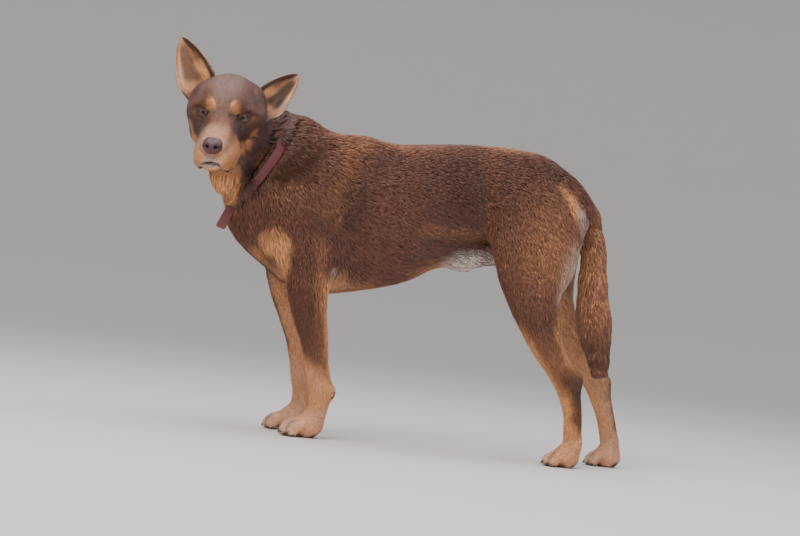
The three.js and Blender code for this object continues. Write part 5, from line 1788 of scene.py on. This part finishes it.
@dataclass(frozen=True)
class Claws:
    """Blunt curved claws, four to a paw, that grow out of the toes forwards and down."""

    length: float = 13
    thick: float = 3.1
    tip: float = 1.0
    rings: int = 12
    around: int = 14

    def build(self) -> None:
        """Makes one piece for each paw, standing for its four CAD claws."""
        finish = HornFinish().make()
        forward, down = np.array([0.927, 0, -0.375]), np.array([-0.375, 0, -0.927])
        for leg_name, leg in LEGS.items():
            end, side = leg_name.split("leg_")
            points, faces, along = [], [], []
            for across, tip in TOES:
                root = np.array([tip - 7, across, 14]) * leg.size
                rows = np.concatenate([np.linspace(0, 1, self.rings), [1.03]])
                closing = np.concatenate([np.ones(self.rings), [0.02]])
                turn = np.linspace(0, 2 * np.pi, self.around, endpoint=False)
                for t, close in zip(rows, closing):
                    run = min(t, 1.0) * self.length * leg.size
                    bend = math.radians(70 * run / 22)
                    ahead = run * math.cos(bend * 0.7) + (0.5 if t > 1 else 0)
                    centre = root + forward * ahead + down * run * math.sin(bend) * 0.6
                    radius = (self.thick + (self.tip - self.thick) * min(t, 1) ** 1.3) * leg.size * close
                    flat, deep = np.cos(turn) * radius * 0.78, np.sin(turn) * radius
                    points.append(centre + np.outer(flat, [0, 1, 0]) + np.outer(deep, -down))
                    along.append(np.full(self.around, min(t, 1.0)))
                start = len(faces) * (self.rings + 1) * self.around
                faces.append(triangles(grid_faces(self.rings + 1, self.around, closed=True)) + start)
            piece = make_mesh(f"claws_{end}_{side}", leg.paw.out(np.concatenate(points)), np.concatenate(faces))
            put_values(piece, "along", np.concatenate(along))
            self.cap(piece)
            piece.data.materials.append(finish)
            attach(piece, "root")
            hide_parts(*(f"claw_{end}_{side}_{i}" for i in range(1, 5)))
        LOG.info("claws: four on each paw")

    @staticmethod
    def cap(piece: Piece) -> None:
        """Closes the open roots and tips and turns the faces outwards."""
        with editing(piece):
            bpy.ops.mesh.select_all(action="DESELECT")
            bpy.ops.mesh.select_mode(type="EDGE")
            bpy.ops.mesh.select_non_manifold()
            bpy.ops.mesh.edge_face_add()
            bpy.ops.mesh.select_all(action="SELECT")
            bpy.ops.mesh.normals_make_consistent(inside=False)
            bpy.ops.mesh.select_mode(type="VERT")


# ------------------------------------------------------------------ the collar
def collar_place() -> Place:
    """The collar's own frame: +X down to the throat, +Z along the neck."""
    down = unit(np.array([-0.46, -0.08, -0.885]))
    along = unit(np.cross(down, [0.37, -0.92, -0.07]))
    return Place(np.array([-121.0, -9, 438]), np.column_stack([down, unit(np.cross(along, down)), along]))


COLLAR = collar_place()


@dataclass
class Collar:
    """A plain leather strap round the neck, with its free end hanging in front of the chest."""

    width: float = 15
    thickness: float = 3.2
    around: int = 220
    stations: int = 28  # places round the neck where the CAD strap is measured
    sunk: float = 2  # mm that it lies deeper where the ruff covers it

    def build(self) -> None:
        """Makes the strap and its end, each standing for its CAD node."""
        finish = StrapFinish().make()
        self.middle = self.radii()
        for name, node, (points, faces, edge) in (
            ("collar_leather", "collar_strap", self.strap()),
            ("collar_strap_end", "collar_end", self.free_end()),
        ):
            piece = make_mesh(name, points, faces)
            put_values(piece, "edge", edge)
            with editing(piece):
                bpy.ops.mesh.normals_make_consistent(inside=False)
            piece.data.materials.append(finish)
            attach(piece, "root")
            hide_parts(node)
            LOG.info("%s: %d corners", name, len(piece.data.vertices))

    def radii(self) -> Array:
        """How far the CAD strap's middle lies from the collar's middle, at even steps round the neck."""
        _, angle, radius = COLLAR.around(points_of(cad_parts["collar_strap"]))
        count = self.stations
        bins = np.round(angle / (2 * np.pi / count)).astype(int) % count
        return np.array([(radius[bins == i].min() + radius[bins == i].max()) / 2 for i in range(count)])

    def section(self) -> tuple[Array, Array]:
        """The strap's rounded outline as (thickness, width) offsets, and how near each corner is to an edge."""
        t = np.linspace(0, 2 * np.pi, 28, endpoint=False)
        c, s = np.cos(t), np.sin(t)
        square = np.column_stack([np.sign(c) * np.abs(c) ** 0.45, np.sign(s) * np.abs(s) ** 0.22])
        edge = smooth(np.abs(square[:, 1]), 0.72, 0.97) * 0.7 + 0.3
        return square * [self.thickness / 2, self.width / 2], edge

    def strap(self) -> tuple[Array, Array, Array]:
        """The ring: corners, triangles and edge wear."""
        turn = np.linspace(0, 2 * np.pi, self.around, endpoint=False)
        radius = self.round_through(self.middle, turn)
        radius = radius + 0.15 * np.sin(turn * 17) + 0.1 * np.sin(turn * 29 + 1)
        radius -= self.sunk * Coat.covered((turn + np.pi) % (2 * np.pi) - np.pi)
        section, edge = self.section()
        rows = []
        for a, r in zip(turn, radius):
            dent = 0.35 * (1 - (section[:, 1] / (self.width / 2)) ** 2) * np.sign(section[:, 0])
            reach = r + section[:, 0] + dent * 0.6
            rows.append(np.column_stack([reach * np.cos(a), reach * np.sin(a), section[:, 1] + 0.4 * np.sin(3 * a)]))
        points = COLLAR.out(np.concatenate(rows))
        quads = grid_faces(self.around + 1, len(section), closed=True) % (self.around * len(section))
        return points, triangles(quads), np.tile(edge, self.around)

    @staticmethod
    def round_through(values: Array, at: Array) -> Array:
        """A smooth closed curve through values that stand at even steps, read at angles."""
        waves = np.fft.rfft(values)
        found = np.full(len(at), waves[0].real / len(values))
        for k in range(1, len(waves) - 1):
            found += 2 / len(values) * (waves[k].real * np.cos(k * at) - waves[k].imag * np.sin(k * at))
        return found

    def free_end(self) -> tuple[Array, Array, Array]:
        """The hanging end: a flat strip with squared corners, a little wider at its foot, and a slight curl."""
        columns = np.array([(0.9, -0.35, -0.26), (-0.33, -0.2, -0.92), (0.3, 0.9, -0.3)], float)
        place = Place(np.array([-149.5, -48, 360]), unit(columns).T)
        section, edge = self.section()
        long, corner = 45.6, 3.5
        rows, worn = [], []
        for run in (*np.linspace(-5, long - corner, 30), *(long - corner * (1 - np.sin(np.linspace(0.2, 1.57, 7))))):
            share = max(run, 0) / long
            into = max(run - (long - corner), 0) / corner
            half = self.width / 2 + 1.2 * share - corner * (1 - math.sqrt(max(1 - into**2, 0)))
            wide = section[:, 1] / (self.width / 2) * half
            curl = 1.2 * share**2 - 0.006 * wide**2 * share
            rows.append(np.column_stack([wide, np.full(len(section), run), section[:, 0] * 0.78 + 1.4 - curl]))
            worn.append(np.clip(edge + 0.3 * share, 0, 1))
        points = place.out(np.concatenate(rows))
        n, last = len(section), (len(rows) - 1) * len(section)
        faces = triangles(grid_faces(len(rows), n, closed=True))
        fan = np.arange(1, n - 1)
        caps = [np.column_stack([0 * fan, fan, fan + 1]), np.column_stack([0 * fan + last, last + fan + 1, last + fan])]
        return points, np.concatenate([faces, *caps]), np.concatenate(worn)


# ------------------------------------------------------------------ the coat
class Shape(Enum):
    """How a tuft is built: its corners and triangles."""

    SLIVER = (4, 4)
    SPINDLE = (5, 6)
    LOCK = (8, 12)


@dataclass(frozen=True)
class CoatPart:
    """One piece of the coat: where it grows, what its tufts are like and how many there are."""

    name: str
    region: Region
    shape: Shape
    tufts: int
    width: float  # mm, of a tuft of middle length
    clump: float = 0.0  # how far the tips draw together
    free: float = 0.0  # how far the tips hang free of the body
    side: int = 0  # -1 or 1 keeps to one side of the face
    stretch: tuple[float, float, float] = (0.4, 1, 1)  # how far its streaks of tone are drawn out


COAT_PARTS = (
    CoatPart("coat_face_left", Region.HEAD, Shape.SLIVER, 27000, 1.5, side=-1, stretch=(2, 0.8, 2)),
    CoatPart("coat_face_right", Region.HEAD, Shape.SLIVER, 27000, 1.5, side=1, stretch=(2, 0.8, 2)),
    CoatPart("coat_ears", Region.EARS, Shape.SLIVER, 17000, 1.3),
    CoatPart("coat_neck", Region.NECK, Shape.LOCK, 16400, 1.5, clump=0.3, free=0.15),
    CoatPart("coat_trunk_left", Region.TRUNK_LEFT, Shape.SPINDLE, 33000, 1.3, clump=0.12),
    CoatPart("coat_trunk_right", Region.TRUNK_RIGHT, Shape.SPINDLE, 33000, 1.3, clump=0.12),
    CoatPart("coat_forelegs", Region.FORELEGS, Shape.SPINDLE, 26000, 1.25, stretch=(1, 1, 0.35)),
    CoatPart("coat_hindlegs", Region.HINDLEGS, Shape.SPINDLE, 30000, 1.25, clump=0.1, stretch=(1, 1, 0.35)),
    CoatPart("coat_tail", Region.TAIL, Shape.LOCK, 13000, 1.7, clump=0.35, free=0.3, stretch=(1, 1, 0.35)),
)


FAN = [(0, 2, 1), (0, 3, 2), (0, 1, 3)]  # from a tuft's root to the first ring of corners


class Coat:
    """All tufts, grown from the skin's own arrays so that they carry its markings."""

    root: float = 0.4  # mm that a tuft starts below the skin
    margin: float = 0.2  # mm that the coat keeps inside the object's box
    patch: float = 0.0015  # size of one tuft in the map for baking
    edge: float = 0.0005  # and how far it keeps from the map's border

    def __init__(self, skin: Skin, collar: Collar) -> None:
        self.skin = skin
        self.collar = collar
        self.chance = np.random.default_rng(SEED)
        self.middle = skin.points[skin.faces].mean(axis=1)
        self.area = np.linalg.norm(facing(skin.points, skin.faces), axis=1) / 2
        self.region = np.median(skin.region[skin.faces], axis=1).astype(int)
        self.finish = HairFinish().make()
        self.box = [from_row(np.array(corner, float)) for corner in cad_box]

    def build(self, part: CoatPart) -> Piece:
        """Grows one piece of the coat.

        Args:
            part: What to grow.
        Returns:
            The finished object.
        """
        roots = self.roots(part)
        made = self.grow(part, roots)
        piece = self.mesh(part, *made)
        piece.data.materials.append(self.finish)
        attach(piece, "root")
        LOG.info("%s: %d tufts, %d triangles", part.name, len(roots["at"]), len(piece.data.polygons))
        return piece

    def spread(self, values: Array, face: Array, share: Array) -> Array:
        """Values stored at the skin's corners, read at points inside its triangles."""
        corners = values[self.skin.faces[face]]
        return np.einsum("ij,ij...->i...", share, corners.astype(float))

    def roots(self, part: CoatPart) -> dict[str, Array]:
        """Where the tufts grow, spread evenly over the skin, with what the skin knows there."""
        skin = self.skin
        weight = self.area * (self.region == part.region.value)
        if part.side:
            weight = weight * (np.sign(-HEAD.into(self.middle)[:, 1]) == part.side)
        length = skin.length[skin.faces].mean(axis=1)
        weight = weight * (1 - 0.98 * skin.bare[skin.faces].mean(axis=1)) * (length > 0)
        if part.shape is not Shape.LOCK:
            weight = weight * np.clip(12 / length, 0.7, 1.6)
        weight = weight * self.open_air(part)
        order = np.lexsort((self.middle[:, 1] // 6, self.middle[:, 0] // 6, self.middle[:, 2] // 6))
        total = np.cumsum(weight[order])
        steps = (np.arange(part.tufts) + self.chance.random(part.tufts)) / part.tufts * total[-1]
        face = order[np.searchsorted(total, steps)]
        r1, r2 = np.sqrt(self.chance.random(part.tufts)), self.chance.random(part.tufts)
        share = np.column_stack([1 - r1, r1 * (1 - r2), r1 * r2])
        found = {key: self.spread(getattr(skin, key), face, share) for key in ("marks", "lie", "length", "depth")}
        found["at"] = self.spread(skin.points, face, share)
        found["normal"] = unit(self.spread(skin.normals, face, share))
        found["uv"] = np.einsum("ij,ijk->ik", share, skin.unwrap[face])
        return found

    def open_air(self, part: CoatPart) -> Array:
        """Leaves out skin that lies inside the eyelids' room or under the collar."""
        keep = np.ones(len(self.middle))
        for side in Side:
            place = eye_frame(side)
            arcs, radius = Skin.lids.arcs(place, self.middle)
            near_eye = (radius < EYE_RADIUS + 14) & (place.into(self.middle)[:, 0] > 0)
            keep *= np.where(near_eye & (Skin.lids.off(arcs) < 1.6), 0, 1)
        q, turn, reach = COLLAR.around(self.middle)
        under = (np.abs(q[:, 2]) < 6) & (reach < 120)
        ahead = (q[:, 2] > 6) & (q[:, 2] < 22) & (reach < 125)
        thick = 1 + 4 * (part.free > 0) * ahead * self.covered(turn)
        return keep * thick * np.where(under, 0, 1) * (self.middle[:, 2] > 1.5)

    def grow(self, part: CoatPart, roots: dict[str, Array]) -> tuple[Array, Array, Array, dict[str, Array]]:
        """Shapes the tufts.

        Args:
            part: What to grow.
            roots: Where, as found by roots().
        Returns:
            Corners of each tuft (tuft, corner, 3), the faces of one tuft, how far along each corner is, and facts.
        """
        chance = self.chance
        at, normal = roots["at"], roots["normal"]
        count = len(at)
        lie = roots["lie"] - np.sum(roots["lie"] * normal, axis=1, keepdims=True) * normal
        lie = unit(lie + NOTHING)
        side = np.cross(normal, lie)
        swing = chance.normal(0, 0.1, count) + 0.07 * ripple(at, 11.0, 0.4)
        lie = unit(lie + side * swing[:, None])
        side = np.cross(normal, lie)
        length = roots["length"] * (0.72 + 0.5 * chance.random(count))
        height = roots["depth"] * (0.58 + 0.4 * chance.random(count) ** 0.7)
        length = self.short_of_strap(at, lie, length)

        def laid(run: float, rise: float, free: float = part.free) -> tuple[Array, Array]:
            """Points some way along the tufts, and the triangles they lie over."""
            return self.over_skin(at, lie * (run * length)[:, None], normal, rise * height, free)

        if part.free:
            _, lands = laid(1, 1, free=0)
            there = self.skin.depth[self.skin.faces[lands]].mean(axis=1)
            height = height * np.clip(there / roots["depth"], 0.15, 1)
        width = part.width * (0.75 + 0.5 * chance.random(count)) * np.clip(roots["length"] / 14, 0.72, 1.25)
        width = width * (1 - 0.35 * smooth(roots["length"], 7.5, 3.0))
        tip, lands = laid(1, 1)
        if part.clump:
            tip = self.drawn(at, tip, part.clump * np.clip(roots["length"] / 22, 0.2, 1.5))
        base = at - normal * self.root
        shades = self.shades(at * part.stretch)
        ahead = self.skin.marks[self.skin.faces[lands]].mean(axis=1)
        facts = dict(marks=roots["marks"], ahead=ahead, uv=roots["uv"], shade=shades[0], clump=shades[1])
        w = width[:, None]
        if part.shape is Shape.SLIVER:
            ridge = at + lie * (0.3 * length)[:, None] + normal * (0.55 * height)[:, None]
            corners = [base - side * w / 2, base + side * w / 2, ridge, tip]
            faces, along = [(0, 1, 2), (1, 3, 2), (0, 2, 3), (0, 3, 1)], [0, 0, 0.35, 1]
        elif part.shape is Shape.SPINDLE:
            corners = [base, *self.ring(laid(0.42, 0.68)[0], tip - base, normal, w), tip]
            faces, along = FAN + [(4, 1, 2), (4, 2, 3), (4, 3, 1)], [0, *[0.42] * 3, 1]
        else:
            low, high = laid(0.25, 0.5)[0], laid(0.6, 0.86)[0]
            high = high + side * (length * chance.normal(0, 0.035, count))[:, None]
            rings = [*self.ring(low, high - base, normal, w * 0.85), *self.ring(high, tip - low, normal, w * 0.8)]
            corners = [base, *rings, tip]
            sides = [face for a, b in ((1, 2), (2, 3), (3, 1)) for face in ((a, b, b + 3), (a, b + 3, a + 3))]
            faces, along = FAN + sides + [(7, 4, 5), (7, 5, 6), (7, 6, 4)], [0, *[0.25] * 3, *[0.6] * 3, 1]
        return self.fitted(part, at, np.stack(corners, axis=1)), np.array(faces), np.array(along, float), facts

    def fitted(self, part: CoatPart, at: Array, corners: Array) -> Array:
        """Keeps the tufts out of the collar, off the floor and inside the object's box."""
        if part.region in (Region.NECK, Region.HEAD):
            corners = self.over_strap(at, corners)
        return np.clip(corners, self.box[0] + self.margin, self.box[1] - self.margin)

    @staticmethod
    def ring(centre: Array, way: Array, normal: Array, width: Array) -> list[Array]:
        """Three corners round a tuft, one of them its upper ridge."""
        across = unit(np.cross(normal, way))
        lift = unit(np.cross(way, across))
        return [centre - across * width / 2, centre + across * width / 2, centre + lift * width * 0.32]

    def over_skin(self, at: Array, run: Array, normal: Array, height: Array, free: float) -> tuple[Array, Array]:
        """Lays points at a height over the skin, or partly free of it.

        Args:
            at: The roots.
            run: How far and which way each point lies from its root.
            normal: The skin's facing at the roots.
            height: Over the skin, mm.
            free: How far the points hang straight out from the roots instead of following the skin.
        Returns:
            The points, and the triangles over which they come.
        """
        ends = at + run
        found, lands = np.empty_like(ends), np.empty(len(ends), int)
        find = self.skin.tree.find_nearest
        for i, end in enumerate(ends):
            place, way, lands[i], _ = find(end)
            found[i] = (place[0] + way[0] * height[i], place[1] + way[1] * height[i], place[2] + way[2] * height[i])
        if free:
            hanging = ends + normal * (height * 0.9)[:, None]
            found = found * (1 - free) + hanging * free
        return found, lands

    def drawn(self, at: Array, tip: Array, share: Array) -> Array:
        """Draws the tips of neighbours together into locks."""
        chosen = self.chance.choice(len(at), max(len(at) // 9, 1), replace=False)
        tree = KDTree(len(chosen))
        for i, n in enumerate(chosen):
            tree.insert(at[n], i)
        tree.balance()
        lead = chosen[[tree.find(p)[1] for p in at]]
        return tip + (tip[lead] - tip) * np.clip(share, 0, 0.75)[:, None]

    def short_of_strap(self, at: Array, lie: Array, length: Array) -> Array:
        """Ends the hair ahead of the collar just over its edge, but where the ruff covers the collar."""
        q, turn, reach = COLLAR.around(at)
        covered = self.covered(turn)
        fall = np.sum(lie * -COLLAR.basis[:, 2], axis=1)
        ahead = (q[:, 2] > 5) & (q[:, 2] < 45) & (reach < 125) & (fall > 0.15)
        room = (q[:, 2] - self.collar.width / 2 + 2.5) / np.maximum(fall, 0.15)
        length = np.where(ahead & (q[:, 2] < 24), length * (1 + 0.7 * covered), length)
        short = ahead & (self.chance.random(len(at)) > covered)
        return np.where(short, np.minimum(length, np.maximum(room, 5)), length)

    @staticmethod
    def covered(turn: Array) -> Array:
        """How far the ruff covers the collar, at angles from the throat."""
        turn = np.abs(np.degrees(turn))
        return over(smooth(turn, 112, 124), 0.85 * smooth(turn, 18, 26) * (1 - smooth(turn, 52, 64)))

    def over_strap(self, at: Array, corners: Array) -> Array:
        """Lifts the corners of the tufts that cross the collar out over its leather."""
        ahead = COLLAR.into(at)[:, 2] > 5
        strap = self.collar
        q, turn, radius = COLLAR.around(corners.reshape(-1, 3))
        radius = np.maximum(radius, NOTHING)
        above = strap.round_through(strap.middle, turn) + strap.thickness / 2 + 0.5
        crossing = np.repeat(ahead, corners.shape[1]) & (np.abs(q[:, 2]) < strap.width / 2 + 1)
        crossing &= (radius < above) & (radius > above - 26)
        q[:, :2] *= np.where(crossing, above / radius, 1.0)[:, None]
        return COLLAR.out(q).reshape(corners.shape)

    def shades(self, at: Array) -> tuple[Array, Array]:
        """A tone for each tuft, and one that neighbours share."""
        shade = np.clip(0.5 + 0.22 * self.chance.normal(size=len(at)), 0, 1)
        clump = 0.5 + 0.25 * ripple(at, 6.0, 1.1) + 0.25 * ripple(at, 2.2, 2.3)
        return shade, np.clip(clump, 0, 1)

    def mesh(self, part: CoatPart, corners: Array, faces: Array, along: Array, facts: dict[str, Array]) -> Piece:
        """One mesh of all tufts, with their markings and the map for baking."""
        count, each = corners.shape[:2]
        whole = (faces[None] + (np.arange(count) * each)[:, None, None]).reshape(-1, 3)
        piece = make_mesh(part.name, corners.reshape(-1, 3), whole)
        marks = facts["marks"][:, None] * (1 - along)[None, :, None] + facts["ahead"][:, None] * along[None, :, None]
        put_values(piece, "markings", marks.reshape(-1, 4))
        shade, clump = (np.repeat(facts[key], each) for key in ("shade", "clump"))
        put_values(piece, "strand", np.column_stack([shade, np.tile(along, count), clump, np.ones(count * each)]))
        layer = piece.data.uv_layers.new(name="OFBake")
        angle = np.linspace(0, 2 * np.pi, each, endpoint=False)
        patch = self.patch * np.column_stack([np.cos(angle), np.sin(angle)])
        uv = np.clip(facts["uv"][:, None, :] + patch[None], self.edge, 1 - self.edge).reshape(-1, 2)
        layer.data.foreach_set("uv", uv[whole.ravel()].astype(np.float32).ravel())
        return piece


# ------------------------------------------------------------------ the studio
@dataclass(frozen=True)
class Studio:
    """A pale floor that sweeps up behind, soft lights and the camera."""

    focal: float = 96.6
    roll: float = 6.6

    @staticmethod
    def stand(name: str, data: bpy.types.ID, at: Row | Array, aim: Row | Array, roll: float = 0.0) -> Piece:
        """Stands a camera or a light in the row's place for a point of the dog's frame, turned to its aim."""
        piece = bpy.data.objects.new(name, data)
        bpy.context.scene.collection.objects.link(piece)
        place, end = (Vector(to_row(np.array(point, float))) for point in (at, aim))
        look = (end - place).to_track_quat("-Z", "Y").to_matrix() @ Matrix.Rotation(math.radians(roll), 3, "Z")
        piece.matrix_world = Matrix.Translation(place) @ look.to_4x4()
        return piece

    def camera(self) -> None:
        """The camera, low and to the dog's left side."""
        data = bpy.data.cameras.new("camera")
        data.lens = self.focal
        data.sensor_width = 36
        data.clip_end = 50
        bpy.context.scene.camera = self.stand("camera", data, CAMERA_AT, CAMERA_AIM, self.roll)

    def floor(self) -> None:
        """A plain floor with a swept-up back, all round."""
        rings = [(0.0, 0.0), (1.6, 0.0), (2.6, 0.02), (3.3, 0.25), (3.8, 0.8), (4.0, 1.6), (4.1, 3.2)]
        around = 64
        turn = np.linspace(0, 2 * np.pi, around, endpoint=False)
        centre = np.array([130.0, 0, 0])
        rows = []
        for r, z in rings:
            reach = r * 1000 * 1.4
            ring = [reach * np.cos(turn), reach * np.sin(turn), np.full(around, z * 1000)]
            rows.append(centre + np.column_stack(ring))
        floor = make_mesh("floor", np.concatenate(rows), grid_faces(len(rings), around, closed=True))
        wiring = Wiring("pale_studio_floor")
        floor.data.materials.append(wiring.surface("#cfcbc6", Roughness=0.85))

    def lights(self) -> None:
        """Broad soft light from above and the left, with a weak fill."""
        for name, at, size, power, colour in (
            ("key", (-900, -1900, 2300), 2.2, 80, "#fff6ec"),
            ("sky", (400, 100, 2700), 3.0, 76, "#eef1ff"),
            ("fill", (1500, -2500, 900), 2.0, 24, "#f8f6ff"),
        ):
            data = bpy.data.lights.new(name, "AREA")
            data.shape = "DISK"
            data.size = size
            data.energy = power
            data.color = linear(colour)[:3]
            self.stand(name, data, at, (100, 0, 300))
        world = bpy.data.worlds.new("studio")
        world.use_nodes = True
        background = world.node_tree.nodes["Background"].inputs
        background["Color"].default_value = linear("#dfe3ea")
        background["Strength"].default_value = 0.7
        bpy.context.scene.world = world


def main() -> None:
    """Builds the dog, its coat and the studio."""
    studio = Studio()
    studio.camera()
    skin = Skin()
    skin.build()
    Eyes().build()
    Nose().build()
    Claws().build()
    collar = Collar()
    collar.build()
    coat = Coat(skin, collar)
    for part in COAT_PARTS:
        coat.build(part)
    studio.floor()
    studio.lights()


if __name__ == "__main__":
    main()
